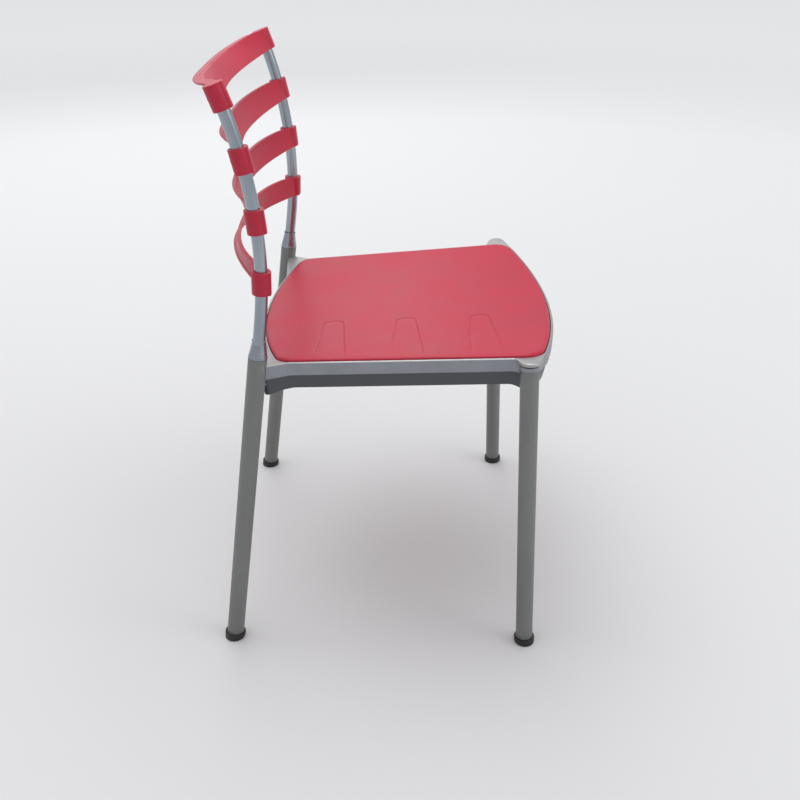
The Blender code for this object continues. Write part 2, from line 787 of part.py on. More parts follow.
def slat_section(half, flange):
    """(depth behind the face, height) of a slat's channel section, lower edge first."""
    inner = half - FLANGE_WALL
    return (
        (SLAT_EDGE, -half),
        (0.0, SLAT_EDGE - half),
        (0.0, half - SLAT_EDGE),
        (SLAT_EDGE, half),
        (flange, half),
        (flange, inner),
        (SLAT_WALL, inner),
        (SLAT_WALL, -inner),
        (FLANGE_DEPTH, -inner),
        (FLANGE_DEPTH, -half),
    )


def make_slat(name, index, material):
    """A bowed band across the fronts of two sleeves, the top one closing the posts."""
    s = SLAT_PLACES[index]
    bows = SLAT_BOWS[index]
    top = index == 0
    point, along, back = post_frame(1, s)
    reach = point.x + SLEEVE_RADIUS
    rings = []
    for i in range(SLAT_STEPS + 1):
        x = -reach + 2 * reach * i / SLAT_STEPS
        share = 1 - min(abs(x) / point.x, 1.0) ** 2
        half = (SLAT_END_HEIGHT + (SLAT_MID_HEIGHT - SLAT_END_HEIGHT) * share) / 2
        ring = []
        for depth, height in slat_section(half, TOP_FLANGE_DEPTH if top else FLANGE_DEPTH):
            behind = slat_bow(x, height / half, bows) + depth - SLEEVE_RADIUS
            ring.append(Vector((x, point.y, point.z)) + back * behind + along * height)
        rings.append(ring)
    slat = loft(name, rings, material)
    low = s - SLAT_END_HEIGHT / 2
    high = s + SLAT_END_HEIGHT / 2
    for side in (-1, 1):
        join(slat, loft("sleeve", post_rings(side, low, high, SLEEVE_RADIUS)))
        bore_top = POST_TOP_S + GAP if top else high + SLEEVE_WALL
        cut(slat, loft("bore", post_rings(side, low - SLEEVE_WALL, bore_top, POST_OD / 2 + GAP)))
        cut(slat, slat_screw_hole(side, s))
        centre, _, _ = post_frame(side, s)
        sunk = centre + back * (SLEEVE_RADIUS - SLAT_SCREW_SINK)
        cut(slat, rod(sunk, sunk + back * SLEEVE_WALL * 2, SLAT_SCREW_HEAD / 2 + GAP))
    return slat


def make_screw(name, face, direction, length, shank, head, head_height, material):
    """A round-headed screw whose head sits just off a face and whose shank runs on from it."""
    direction = Vector(direction).normalized()
    profile = (
        (-head_height - GAP, head / 2 * HEAD_TOP),
        (-head_height * HEAD_EDGE - GAP, head / 2),
        (-GAP, head / 2),
        (-GAP, shank / 2),
        (length, shank / 2),
    )
    return turned(name, face, direction, profile, STEM_SIDES, material)


def make_seat_screws(material, chair):
    for name, (x, y) in screw_places().items():
        face = seat_point(x, y, LEDGE_UNDER)
        screw = make_screw(
            "seat_screw_" + name,
            face,
            seat_normal(x, y),
            SCREW_LENGTH,
            SCREW_SHANK,
            SCREW_HEAD,
            SCREW_HEAD_HEIGHT,
            material,
        )
        place(screw, face, chair)


def make_leg_bolts(material, chair):
    for end_name, end in (("front", -1), ("rear", 1)):
        for side_name, side in (("right", -1), ("left", 1)):
            centre, outwards = bolt_line(end, side)
            face = centre - outwards * bolt_seat(end)
            bolt = make_screw(
                f"leg_bolt_{end_name}_{side_name}",
                face,
                outwards,
                bolt_seat(end) + BOLT_PAST_AXIS,
                BOLT_SHANK,
                BOLT_HEAD,
                BOLT_HEAD_HEIGHT,
                material,
            )
            place(bolt, face, chair)


def make_slat_screws(material, chair):
    for index, s in enumerate(SLAT_PLACES):
        for side_name, side in (("right", -1), ("left", 1)):
            centre, _, back = post_frame(side, s)
            face = centre + back * (SLEEVE_RADIUS - SLAT_SCREW_SINK)
            screw = make_screw(
                f"slat_screw_{index + 1}_{side_name}",
                face,
                -back,
                SLEEVE_RADIUS - SLAT_SCREW_SINK - POST_OD / 4,
                SLAT_SCREW_SHANK,
                SLAT_SCREW_HEAD,
                SLAT_SCREW_HEAD_HEIGHT,
                material,
            )
            place(screw, face, chair)


def make_legs(paint, rubber, chair):
    for end_name, end, axis in (("front", -1, front_axis), ("rear", 1, rear_axis)):
        for side_name, side in (("right", -1), ("left", 1)):
            foot = axis(side, 0.0)
            name = f"{end_name}_leg_{side_name}"
            place(make_leg(name, end, side, paint), foot, chair)
            name = f"glide_{end_name}_{side_name}"
            place(make_glide(name, axis, side, rubber), foot, chair)


def make_back(bright, plastic, chair):
    for side_name, side in (("right", -1), ("left", 1)):
        base = rear_axis(side, REAR_LEG_TOP_Z)
        place(make_ferrule("ferrule_" + side_name, side, bright), base, chair)
        place(make_post("back_post_" + side_name, side, bright), base, chair)
    for index, s in enumerate(SLAT_PLACES):
        point, _, _ = post_frame(1, s)
        slat = make_slat(f"back_slat_{index + 1}", index, plastic)
        place(slat, (0.0, point.y, point.z), chair)


def main():
    clear_scene()
    chair = bpy.data.objects.new("chair", None)
    bpy.context.scene.collection.objects.link(chair)
    plastic = make_material("red_plastic", (0.42, 0.016, 0.040), 0.35)
    cast = make_material("cast_aluminium", (0.33, 0.34, 0.36), 0.45, 0.9)
    paint = make_material("grey_paint", (0.17, 0.18, 0.17), 0.5, 0.4)
    bright = make_material("bright_aluminium", (0.55, 0.58, 0.62), 0.25, 1.0)
    rubber = make_material("black_rubber", (0.015, 0.015, 0.013), 0.6)
    steel = make_material("zinc_steel", (0.45, 0.45, 0.44), 0.35, 1.0)
    middle = (0.0, 0.0, SEAT_Z)
    place(make_seat_panel(plastic), middle, chair)
    place(make_seat_frame(cast), middle, chair)
    make_legs(paint, rubber, chair)
    make_back(bright, plastic, chair)
    make_seat_screws(steel, chair)
    make_leg_bolts(steel, chair)
    make_slat_screws(steel, chair)


main()
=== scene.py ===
"""A dining chair: grey tube legs and bright bent posts round a cast aluminium seat frame, a dished
red plastic seat panel let into the frame, and four red plastic slats threaded on the posts.

Metres, +Z up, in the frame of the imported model. The chair faces -Y and the sitter's right is at -X.
Every piece is made in place, rides on the one body "root" and stands for its CAD nodes.
"""
import math

import bpy
import numpy as np
from mathutils import Matrix, Vector
from mathutils.geometry import tessellate_polygon


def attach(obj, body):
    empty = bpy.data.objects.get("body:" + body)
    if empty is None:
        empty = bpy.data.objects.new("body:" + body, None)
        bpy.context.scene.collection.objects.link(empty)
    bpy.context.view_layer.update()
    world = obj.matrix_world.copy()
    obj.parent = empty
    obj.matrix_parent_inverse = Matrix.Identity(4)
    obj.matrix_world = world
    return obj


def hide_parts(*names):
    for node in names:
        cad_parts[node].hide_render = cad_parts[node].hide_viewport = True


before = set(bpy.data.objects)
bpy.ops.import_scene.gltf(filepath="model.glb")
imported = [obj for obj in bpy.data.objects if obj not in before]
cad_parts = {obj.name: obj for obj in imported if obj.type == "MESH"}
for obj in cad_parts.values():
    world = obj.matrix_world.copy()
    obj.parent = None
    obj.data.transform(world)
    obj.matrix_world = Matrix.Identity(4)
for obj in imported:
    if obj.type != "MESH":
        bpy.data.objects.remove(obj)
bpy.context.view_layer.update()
scene = bpy.context.scene

# The camera stands at the chair's side, 1 m above the floor, and looks 30 degrees down on it.
CAMERA_PLACE = (-1.2477, -0.0079, 1.000)
CAMERA_PITCH = math.radians(30.01)
CAMERA_YAW = math.radians(-0.6566)
CAMERA_ROLL = math.radians(0.2917)


def camera_matrix():
    """Looks along the yaw and pitch, rolled about that line, with the image's up and right squared."""
    level = math.cos(CAMERA_PITCH)
    forward = Vector((level * math.cos(CAMERA_YAW), level * math.sin(CAMERA_YAW), -math.sin(CAMERA_PITCH)))
    right = forward.cross(Vector((0, 0, 1))).normalized()
    up = right.cross(forward)
    turned_right = math.cos(CAMERA_ROLL) * right + math.sin(CAMERA_ROLL) * up
    turned_up = math.cos(CAMERA_ROLL) * up - math.sin(CAMERA_ROLL) * right
    rotation = Matrix((turned_right, turned_up, -forward)).transposed()
    return Matrix.Translation(CAMERA_PLACE) @ rotation.to_4x4()


camera = bpy.data.objects.new("camera", bpy.data.cameras.new("camera"))
scene.collection.objects.link(camera)
camera.data.lens = 40.5
camera.data.sensor_width = 36.0
camera.matrix_world = camera_matrix()
scene.camera = camera

# The stage is one large plain pale floor under a pale room. The floor grows paler with distance, and a
# faint haze that only the camera sees keeps it even. Three soft area lights add the direction.
scene.view_settings.view_transform = "Standard"


def new_material(name, roughness, metallic=0.0, specular=0.5):
    """A Principled material with its constant values set on its sockets: (material, tree, shader)."""
    material = bpy.data.materials.new(name)
    material.use_nodes = True
    shader = material.node_tree.nodes["Principled BSDF"]
    shader.inputs["Roughness"].default_value = roughness
    shader.inputs["Metallic"].default_value = metallic
    shader.inputs["Specular IOR Level"].default_value = specular
    return material, material.node_tree, shader


def noise(tree, coordinates, density, detail=3.0):
    """Noise over "Object" or "UV" coordinates, with a density along each axis: its value socket."""
    place = tree.nodes.new("ShaderNodeTexCoord")
    mapping = tree.nodes.new("ShaderNodeMapping")
    mapping.inputs["Scale"].default_value = density
    texture = tree.nodes.new("ShaderNodeTexNoise")
    texture.inputs["Scale"].default_value = 1.0
    texture.inputs["Detail"].default_value = detail
    tree.links.new(place.outputs[coordinates], mapping.inputs["Vector"])
    tree.links.new(mapping.outputs["Vector"], texture.inputs["Vector"])
    return texture.outputs[0]


def ranged(tree, value, start, end, low=0.0, high=1.0):
    """Maps a value between two bounds onto a range, and holds it there outside them: its socket."""
    mapped = tree.nodes.new("ShaderNodeMapRange")
    for socket, bound in (("From Min", start), ("From Max", end), ("To Min", low), ("To Max", high)):
        mapped.inputs[socket].default_value = bound
    tree.links.new(value, mapped.inputs["Value"])
    return mapped.outputs["Result"]


def mixed(tree, share, low, high):
    """A colour between two, each a colour or a socket, by a share: its socket."""
    mix = tree.nodes.new("ShaderNodeMix")
    mix.data_type = "RGBA"
    tree.links.new(share, mix.inputs[0])
    for socket, colour in ((mix.inputs[6], low), (mix.inputs[7], high)):
        if isinstance(colour, tuple):
            socket.default_value = (*colour, 1.0)
        else:
            tree.links.new(colour, socket)
    return mix.outputs[2]


floor = bpy.data.objects.new("floor", bpy.data.meshes.new("floor"))
scene.collection.objects.link(floor)
FLOOR_HALF = 14.0
floor_corners = [(x * FLOOR_HALF, y * FLOOR_HALF, 0) for x, y in ((-1, -1), (1, -1), (1, 1), (-1, 1))]
floor.data.from_pydata(floor_corners, [], [(0, 1, 2, 3)])
floor_paint, floor_tree, floor_shader = new_material("floor_paint", 0.6, specular=0.2)
floor_place = floor_tree.nodes.new("ShaderNodeTexCoord")
floor_distance = floor_tree.nodes.new("ShaderNodeVectorMath")
floor_distance.operation = "LENGTH"
floor_tree.links.new(floor_place.outputs["Object"], floor_distance.inputs[0])
far_off = ranged(floor_tree, floor_distance.outputs["Value"], 0.4, 3.2)
floor_colour = mixed(floor_tree, far_off, (0.66, 0.66, 0.665), (0.93, 0.93, 0.935))
floor_tree.links.new(floor_colour, floor_shader.inputs["Base Color"])
eye = floor_tree.nodes.new("ShaderNodeLightPath")
haze = floor_tree.nodes.new("ShaderNodeMath")
haze.operation = "MULTIPLY"
floor_tree.links.new(eye.outputs["Is Camera Ray"], haze.inputs[0])
floor_tree.links.new(ranged(floor_tree, floor_distance.outputs["Value"], 1.5, 6.0, 0.0, 0.18), haze.inputs[1])
floor_tree.links.new(haze.outputs[0], floor_shader.inputs["Emission Strength"])
floor_shader.inputs["Emission Color"].default_value = (0.90, 0.90, 0.91, 1)
floor.data.materials.append(floor_paint)

world = bpy.data.worlds.new("room")
world.use_nodes = True
scene.world = world
world_nodes = world.node_tree.nodes
world_nodes["Background"].inputs["Color"].default_value = (0.80, 0.81, 0.83, 1)
world_nodes["Background"].inputs["Strength"].default_value = 0.80


def area_light(name, place, target, size, power, colour=(1.0, 1.0, 1.0)):
    """A square soft light of a width in metres, aimed at a point."""
    lamp = bpy.data.lights.new(name, "AREA")
    lamp.size = size
    lamp.energy = power
    lamp.color = colour
    lamp_object = bpy.data.objects.new(name, lamp)
    scene.collection.objects.link(lamp_object)
    aim = Vector(target) - Vector(place)
    lamp_object.matrix_world = Matrix.Translation(place) @ aim.to_track_quat("-Z", "Y").to_matrix().to_4x4()
    return lamp_object


area_light("overhead", (0.3, 0.3, 3.0), (0.0, 0.0, 0.3), 2.2, 42)
area_light("front", (-1.0, -3.1, 2.3), (0.0, 0.0, 0.4), 2.0, 24)
area_light("far_side", (2.8, 0.8, 2.4), (0.0, 0.0, 0.5), 2.4, 16)


# Four glides: turned feet of black plastic with a rounded edge, one pressed into each leg. Their
# undersides lie flat on the floor and their tops are square to the leaning legs.
GAP = 0.0003
LEG_OD = 0.025
LEG_WALL = 0.002
SPLAY = math.radians(3.35)
REAR_LEAN = math.radians(8.0)
FRONT_LEAN = math.radians(2.8)
SEAT_Z = 0.4408
FRONT_LEG = np.array((0.22070, -0.18814))
REAR_LEG = np.array((0.20770, 0.16825))
GLIDE_OD = 0.0305
GLIDE_HEIGHT = 0.0102
GLIDE_STEM = 0.020
GLIDE_SIDES = 64
FOOT_ROUND = 0.002
SHOULDER_ROUND = 0.0015
SIDES = (("right", -1), ("left", 1))


def front_axis(side, z):
    """Point of a front leg's axis: its place at the seat's height, moved along its lean and splay."""
    below = SEAT_Z - z
    out = FRONT_LEG[0] + below * math.tan(SPLAY)
    return np.array((side * out, FRONT_LEG[1] - below * math.tan(FRONT_LEAN), z))


def rear_axis(side, z):
    """Point of a rear leg's axis: its place at the seat's height, moved along its lean and splay."""
    below = SEAT_Z - z
    out = REAR_LEG[0] + below * math.tan(SPLAY)
    return np.array((side * out, REAR_LEG[1] + below * math.tan(REAR_LEAN), z))


def unit(vector):
    """The vector scaled to a length of one."""
    vector = np.asarray(vector, float)
    return vector / np.linalg.norm(vector)


def circle(centre, axis, radius, sides):
    """Points at equal turns round an axis: centre + radius * (cos * across + sin * up)."""
    axis = unit(axis)
    start = np.array((1.0, 0, 0)) if abs(axis[0]) < 0.6 else np.array((0, 0, 1.0))
    across = unit(start - axis * axis.dot(start))
    up = np.cross(axis, across)
    turn = 2 * math.pi * np.arange(sides)[:, None] / sides
    return np.asarray(centre) + radius * (np.cos(turn) * across + np.sin(turn) * up)


def mesh_object(name, points, faces, uv=None):
    """An object from points and faces of equal length, turned to face outwards by its volume's sign."""
    mesh = bpy.data.meshes.new(name)
    mesh.from_pydata(points.tolist(), [], faces)
    if uv is not None:
        mesh.uv_layers.new(name="along").uv.foreach_set("vector", uv.astype(np.float32).ravel())
    mesh.update()
    obj = bpy.data.objects.new(name, mesh)
    scene.collection.objects.link(obj)
    mesh.calc_loop_triangles()
    corners = np.empty(len(mesh.loop_triangles) * 3, np.int32)
    mesh.loop_triangles.foreach_get("vertices", corners)
    a, b, c = points[corners.reshape(-1, 3)].transpose(1, 0, 2)
    if np.einsum("ij,ij->i", a, np.cross(b, c)).sum() < 0:
        mesh.flip_normals()
    return obj


def filled(outline):
    """Triangles, counter-clockwise, that fill a flat closed outline of any shape."""
    triangles = np.array(tessellate_polygon([[Vector((*point, 0.0)) for point in outline]]))
    a, b, c = outline[triangles].transpose(1, 0, 2)
    u, v = b - a, c - a
    turned_back = u[:, 0] * v[:, 1] < u[:, 1] * v[:, 0]
    triangles[turned_back] = triangles[turned_back, ::-1]
    return triangles.tolist()


def loft(name, rings, closed=False, outlines=None):
    """A solid through rings of equal point counts: quads between neighbours, and flat caps if open.

    A cap is one face, or fills a flat outline. The UV map holds the share of the way round and the
    distance along, from the rings' mean spacing.
    """
    rings = np.asarray(rings, float)
    count, sides = rings.shape[:2]
    row = np.arange(count if closed else count - 1)[:, None]
    column = np.arange(sides)[None, :]
    following, beside = (row + 1) % count, (column + 1) % sides
    corners = (row * sides + column, row * sides + beside)
    corners += (following * sides + beside, following * sides + column)
    faces = np.stack(np.broadcast_arrays(*corners), -1).reshape(-1, 4).tolist()
    travel = np.concatenate(([0.0], np.cumsum(np.linalg.norm(np.diff(rings, axis=0), axis=-1).mean(1))))
    travel = np.append(travel, travel[-1])
    shares = (column / sides, (column + 1) / sides, (column + 1) / sides, column / sides)
    lengths = (travel[row], travel[row], travel[row + 1], travel[row + 1])
    pairs = [np.stack(np.broadcast_arrays(u, v), -1) for u, v in zip(shares, lengths)]
    uv = [np.stack(pairs, -2).reshape(-1, 2)]
    if not closed:
        for end, first in ((0, 0), (-1, (count - 1) * sides)):
            fill = [list(range(sides))] if outlines is None else filled(outlines[end])
            for face in fill:
                face = face[::-1] if end == 0 else face
                faces.append([first + corner for corner in face])
                uv.append([(corner / sides, travel[end]) for corner in face])
    return mesh_object(name, rings.reshape(-1, 3), faces, np.concatenate(uv))


def dress(obj, material, slot, *nodes, angle=30.0):
    """Smooth shading up to an angle, the material, the body and the nodes it stands for. The slot is not used."""
    obj.data.materials.clear()
    obj.data.materials.append(material)
    obj.data.shade_smooth()
    obj.data.set_sharp_from_angle(angle=math.radians(angle))
    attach(obj, "root")
    if nodes:
        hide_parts(*nodes)
    return obj


def coloured(tree, shader, *layers):
    """Layers of colour over one another: a first colour, then a share socket and a colour for each."""
    colour = layers[0]
    for share, over in layers[1:]:
        colour = mixed(tree, share, colour, over)
    tree.links.new(colour, shader.inputs["Base Color"])


def relief(tree, shader, *heights):
    """Chained bumps, each a height socket and a depth in metres, into the shader's normal."""
    normal = None
    for height, depth in heights:
        bump = tree.nodes.new("ShaderNodeBump")
        bump.inputs["Distance"].default_value = depth
        tree.links.new(height, bump.inputs["Height"])
        if normal is not None:
            tree.links.new(normal, bump.inputs["Normal"])
        normal = bump.outputs["Normal"]
    tree.links.new(normal, shader.inputs["Normal"])


rubber, tree, shader = new_material("glide_plastic", 0.5)
texture = noise(tree, "Object", (1400, 1400, 1400))
dust = ranged(tree, noise(tree, "Object", (90, 90, 140), 6.0), 0.5, 0.72)
coloured(tree, shader, (0.008, 0.008, 0.0077), (dust, (0.030, 0.029, 0.027)))
tree.links.new(ranged(tree, texture, 0.3, 0.7, 0.40, 0.62), shader.inputs["Roughness"])
relief(tree, shader, (texture, 0.00006))


def make_glide(end, side_name, side):
    """A turned foot: level rings at the floor, then rings square to the leg, and its stem."""
    axis = front_axis if end == "front" else rear_axis
    up = unit(axis(side, 1.0) - axis(side, 0.0))
    radius = GLIDE_OD / 2
    top = axis(side, GLIDE_HEIGHT) - up * GAP
    stem = LEG_OD / 2 - LEG_WALL - GAP
    rings = []
    for t in np.linspace(0, math.pi / 2, 6):
        centre = axis(side, FOOT_ROUND * (1 - math.cos(t)))
        rings.append(circle(centre, (0, 0, 1), radius - FOOT_ROUND * (1 - math.sin(t)), GLIDE_SIDES))
    for t in np.linspace(0, math.pi / 2, 6):
        centre = top - up * SHOULDER_ROUND * (1 - math.sin(t))
        rings.append(circle(centre, up, radius - SHOULDER_ROUND * (1 - math.cos(t)), GLIDE_SIDES))
    rings += [circle(top, up, stem, GLIDE_SIDES), circle(top + up * GLIDE_STEM, up, stem, GLIDE_SIDES)]
    return dress(loft(f"foot_{end}_{side_name}", rings), rubber, "black_rubber", f"glide_{end}_{side_name}")


for glide_end in ("front", "rear"):
    for glide_side, glide_sign in SIDES:
        make_glide(glide_end, glide_side, glide_sign)

# Four legs: straight steel tubes, 25 mm, powder-coated silver grey. The front pair ends under the
# frame's caps, and the rear pair ends under the bright cones.
REAR_LEG_TOP_Z = 0.4622
CAP_DEPTH = 0.005
SEAT_HALF_WIDTH = 0.1947
SEAT_TILT = math.tan(math.radians(2.748))
SEAT_DISH = 0.01184
TUBE_SIDES = 96
TUBE_RIM = 0.0004

leg_paint, tree, shader = new_material("silver_powder_coat", 0.45, 0.35)
orange_peel = noise(tree, "Object", (700, 700, 700), 2.0)
flakes = ranged(tree, noise(tree, "Object", (4000, 4000, 4000), 1.0), 0.45, 0.75)
clouds = ranged(tree, noise(tree, "Object", (22, 22, 9), 4.0), 0.35, 0.65)
scuffs = ranged(tree, noise(tree, "UV", (9, 42, 1), 9.0), 0.66, 0.72)
coloured(
    tree,
    shader,
    (0.158, 0.162, 0.155),
    (clouds, (0.188, 0.193, 0.185)),
    (flakes, (0.25, 0.255, 0.25)),
    (scuffs, (0.29, 0.29, 0.28)),
)
tree.links.new(ranged(tree, clouds, 0.0, 1.0, 0.40, 0.50), shader.inputs["Roughness"])
relief(tree, shader, (orange_peel, 0.00005), (scuffs, 0.00002))


def seat_height(x, y):
    """Height of the seat's rim line: falls to the rear by the tilt, and rises to the sides as x squared."""
    return SEAT_Z - SEAT_TILT * y + SEAT_DISH * (x / SEAT_HALF_WIDTH) ** 2


def front_cap_under():
    """Height of the underside of a front corner's cap, at its lowest over the leg."""
    return seat_height(FRONT_LEG[0] - LEG_OD / 2, FRONT_LEG[1] + LEG_OD / 2) - CAP_DEPTH


def make_leg(end, side_name, low, high):
    """An open tube: rings up the outside, over a small rounded rim, and back down the inside."""
    axis = unit(high - low)
    length = np.linalg.norm(high - low)
    outer, inner = LEG_OD / 2, LEG_OD / 2 - LEG_WALL
    rim, part = TUBE_RIM, 0.3 * TUBE_RIM
    profile = [(along, outer) for along in np.linspace(rim, length - rim, 24)]
    profile += [(length - part, outer - part), (length, outer - rim), (length, inner)]
    profile += [(0.0, inner), (0.0, outer - rim), (part, outer - part)]
    rings = [circle(low + axis * along, axis, radius, TUBE_SIDES) for along, radius in profile]
    leg = loft(f"leg_tube_{end}_{side_name}", rings, closed=True)
    return dress(leg, leg_paint, "grey_paint", f"{end}_leg_{side_name}")


for leg_side, leg_sign in SIDES:
    up = unit(front_axis(leg_sign, 1.0) - front_axis(leg_sign, 0.0))
    high = front_axis(leg_sign, front_cap_under()) - up * GAP
    make_leg("front", leg_side, front_axis(leg_sign, GLIDE_HEIGHT), high)
    make_leg("rear", leg_side, rear_axis(leg_sign, GLIDE_HEIGHT), rear_axis(leg_sign, REAR_LEG_TOP_Z))

# Two back posts: bright 16 mm aluminium tubes, straight out of the cones and then bent back on one
# long radius. Their tops are closed inside the top slat.
POST_OD = 0.016
POST_WALL = 0.002
BEND_START_Z = REAR_LEG_TOP_Z + 0.0515
BEND_RADIUS = 0.589
FERRULE_LENGTH = 0.0255
POST_SOCKET_DEPTH = 0.022
SLAT_PLACES = (0.2813, 0.2074, 0.1333, 0.0547)
SLAT_END_HEIGHT = 0.032
END_TRIM = 0.002
SLEEVE_CAP = 0.003
FERRULE_FOOT_S = (REAR_LEG_TOP_Z + GAP - BEND_START_Z) / math.cos(REAR_LEAN)
FERRULE_TOP_S = FERRULE_FOOT_S + FERRULE_LENGTH
POST_FOOT_S = FERRULE_TOP_S - POST_SOCKET_DEPTH + GAP
POST_TOP_S = SLAT_PLACES[0] + SLAT_END_HEIGHT / 2 - END_TRIM - SLEEVE_CAP - GAP
POST_X = rear_axis(1, REAR_LEG_TOP_Z)[0]

bright, tree, shader = new_material("bright_tube", 0.24, 1.0)
streaks = noise(tree, "UV", (170, 2.5, 1), 5.0)
clouds = ranged(tree, noise(tree, "Object", (30, 30, 14), 3.0), 0.35, 0.65)
bright_streaks = ranged(tree, streaks, 0.52, 0.72)
coloured(tree, shader, (0.29, 0.335, 0.375), (clouds, (0.35, 0.395, 0.44)), (bright_streaks, (0.45, 0.49, 0.53)))
tree.links.new(ranged(tree, streaks, 0.3, 0.7, 0.17, 0.36), shader.inputs["Roughness"])
relief(tree, shader, (streaks, 0.000012))


def post_frame(side, s):
    """(point, along, back) of a post at a distance from its bend: straight below it, an arc above.

    On the arc the point is the centre minus the radius times back, and back turns with s / radius.
    """
    start_y = rear_axis(side, BEND_START_Z)[1]
    turn = max(s, 0.0) / BEND_RADIUS - REAR_LEAN
    along = np.array((0.0, math.sin(turn), math.cos(turn)))
    back = np.array((0.0, math.cos(turn), -math.sin(turn)))
    if s <= 0:
        return np.array((side * POST_X, start_y, BEND_START_Z)) + s * along, along, back
    centre_y = start_y + BEND_RADIUS * math.cos(REAR_LEAN)
    centre_z = BEND_START_Z + BEND_RADIUS * math.sin(REAR_LEAN)
    return np.array((side * POST_X, centre_y, centre_z)) - BEND_RADIUS * back, along, back


def post_rings(side, places, radius):
    """Circles square to a post at places on it."""
    rings = []
    for s in places:
        point, along, _ = post_frame(side, s)
        rings.append(circle(point, along, radius, TUBE_SIDES))
    return rings


for post_side, post_sign in SIDES:
    places = np.linspace(POST_FOOT_S, POST_TOP_S, 90)
    outside = post_rings(post_sign, places, POST_OD / 2)
    inside = post_rings(post_sign, places[::-6], POST_OD / 2 - POST_WALL)
    post = loft(f"post_tube_{post_side}", outside + inside, closed=True)
    dress(post, bright, "bright_aluminium", f"back_post_{post_side}")

# Two cones: turned and polished aluminium, pressed and bolted into the rear legs, each with a
# rounded shoulder over the leg and a thin ring at its top where the post goes in.
FERRULE_TOP_OD = 0.0186
CONE_STEM = 0.0585
CONE_SHOULDER = 0.0022
CONE_ROUND = 0.0002
CONE_RING = 0.0024
CONE_RING_EDGE = 0.0005

polished, tree, shader = new_material("polished_cone", 0.2, 1.0)
turning = noise(tree, "UV", (1, 1500, 1), 2.0)
clouds = ranged(tree, noise(tree, "Object", (60, 60, 60), 3.0), 0.35, 0.65)
bright_turning = ranged(tree, turning, 0.55, 0.75)
coloured(tree, shader, (0.27, 0.305, 0.345), (clouds, (0.33, 0.365, 0.41)), (bright_turning, (0.40, 0.43, 0.47)))
tree.links.new(ranged(tree, turning, 0.3, 0.7, 0.14, 0.30), shader.inputs["Roughness"])
relief(tree, shader, (turning, 0.000008))


def cone_profile():
    """(height over the leg, radius) pairs: stem, rounded shoulder, straight taper, ring and socket."""
    stem, wide, narrow = LEG_OD / 2 - LEG_WALL - GAP, LEG_OD / 2, FERRULE_TOP_OD / 2
    low, high = CONE_SHOULDER, FERRULE_LENGTH - CONE_RING - CONE_ROUND
    start, end = wide - CONE_ROUND, narrow - CONE_RING_EDGE
    profile = [(-CONE_STEM, stem), (0.0, stem), (0.0, wide - 2 * CONE_ROUND)]
    profile += [(CONE_ROUND, wide - CONE_ROUND / 2), (3 * CONE_ROUND, wide), (low - 2 * CONE_ROUND, wide)]
    profile += [(low + (high - low) * share, start + (end - start) * share) for share in np.linspace(0, 1, 10)]
    profile += [(FERRULE_LENGTH - CONE_RING, narrow), (FERRULE_LENGTH - CONE_RING_EDGE, narrow)]
    profile += [(FERRULE_LENGTH, narrow - CONE_RING_EDGE), (FERRULE_LENGTH, POST_OD / 2 + GAP)]
    return profile + [(FERRULE_LENGTH - POST_SOCKET_DEPTH, POST_OD / 2 + GAP)]


for cone_side, cone_sign in SIDES:
    up = unit(rear_axis(cone_sign, 1.0) - rear_axis(cone_sign, 0.0))
    base = rear_axis(cone_sign, REAR_LEG_TOP_Z) + up * GAP
    rings = [circle(base + up * along, up, radius, TUBE_SIDES) for along, radius in cone_profile()]
    dress(loft(f"cone_{cone_side}", rings), polished, "bright_aluminium", f"ferrule_{cone_side}")


# The seat frame: one ring of cast aluminium, painted silver. A lip goes round the panel, an
# upper band and a recessed, drafted lower band go round below it, rounded caps reach out over the
# front legs and ears reach out to the rear legs. A short ring goes round each front leg below its
# cap, and the foot dips where it nears a leg. Spigots, pads and bolt holes are inside. The lip's top
# and the caps' sides over the front legs are painted lighter as a highlight, and the lower band is
# painted dark as shade.
SEAT_TAPER = 0.068
SEAT_FRONT = (0.2403, 0.61, 0.028)
SEAT_REAR = (0.1770, 0.49, 0.024)
SEAT_MIDDLE_Y = (SEAT_REAR[0] - SEAT_FRONT[0]) / 2
PANEL_RIM_DEPTH = 0.006
LIP_WIDTH = 0.0048
LIP_GAP = 0.0012
LIP_ROUND = 0.0035
LIP_EDGE = 0.0005
FRAME_EDGE = 0.0008
BAND_EDGE = 0.0012
UPPER_BAND = 0.019
CAP_RING = 0.0045
REAR_DIP = 0.0045
FRONT_DIP = 0.0025
FRAME_DEPTH = 0.040
BAND_RECESS = 0.0025
BAND_DRAFT = 0.003
BAND_WALL = 0.004
LEDGE_WIDTH = 0.026
LEDGE_TOP = -PANEL_RIM_DEPTH - GAP
LEDGE_UNDER = LEDGE_TOP - 0.003
CAP_RADIUS = 0.0145
WEB_RADIUS = 0.010
ARC_POINTS, CORNER_POINTS, SIDE_POINTS = 24, 48, 24


def side_x(y, grow):
    """The +X side line of the seat outline, grown outwards."""
    return SEAT_HALF_WIDTH - SEAT_TAPER * y + grow * math.hypot(1.0, SEAT_TAPER)


def end_arc(grow, end):
    """(centre Y, radius) of the outline's arc at the front (-1) or the rear (1)."""
    place, radius, _ = SEAT_FRONT if end < 0 else SEAT_REAR
    return end * (place - radius), radius + grow


def end_point(x, grow, end):
    """Point of the front or rear arc at an X."""
    centre_y, radius = end_arc(grow, end)
    return np.array((x, centre_y + end * math.sqrt(radius**2 - x * x)))


def arc(centre, start, end, steps):
    """Points from start to end, the short way round a centre."""
    centre, start, end = np.array(centre), np.array(start), np.array(end)
    first = math.atan2(*(start - centre)[::-1])
    last = math.atan2(*(end - centre)[::-1])
    turn = (last - first + math.pi) % (2 * math.pi) - math.pi
    angle = first + turn * np.linspace(0, 1, steps + 1)
    return centre + np.linalg.norm(start - centre) * np.column_stack((np.cos(angle), np.sin(angle)))


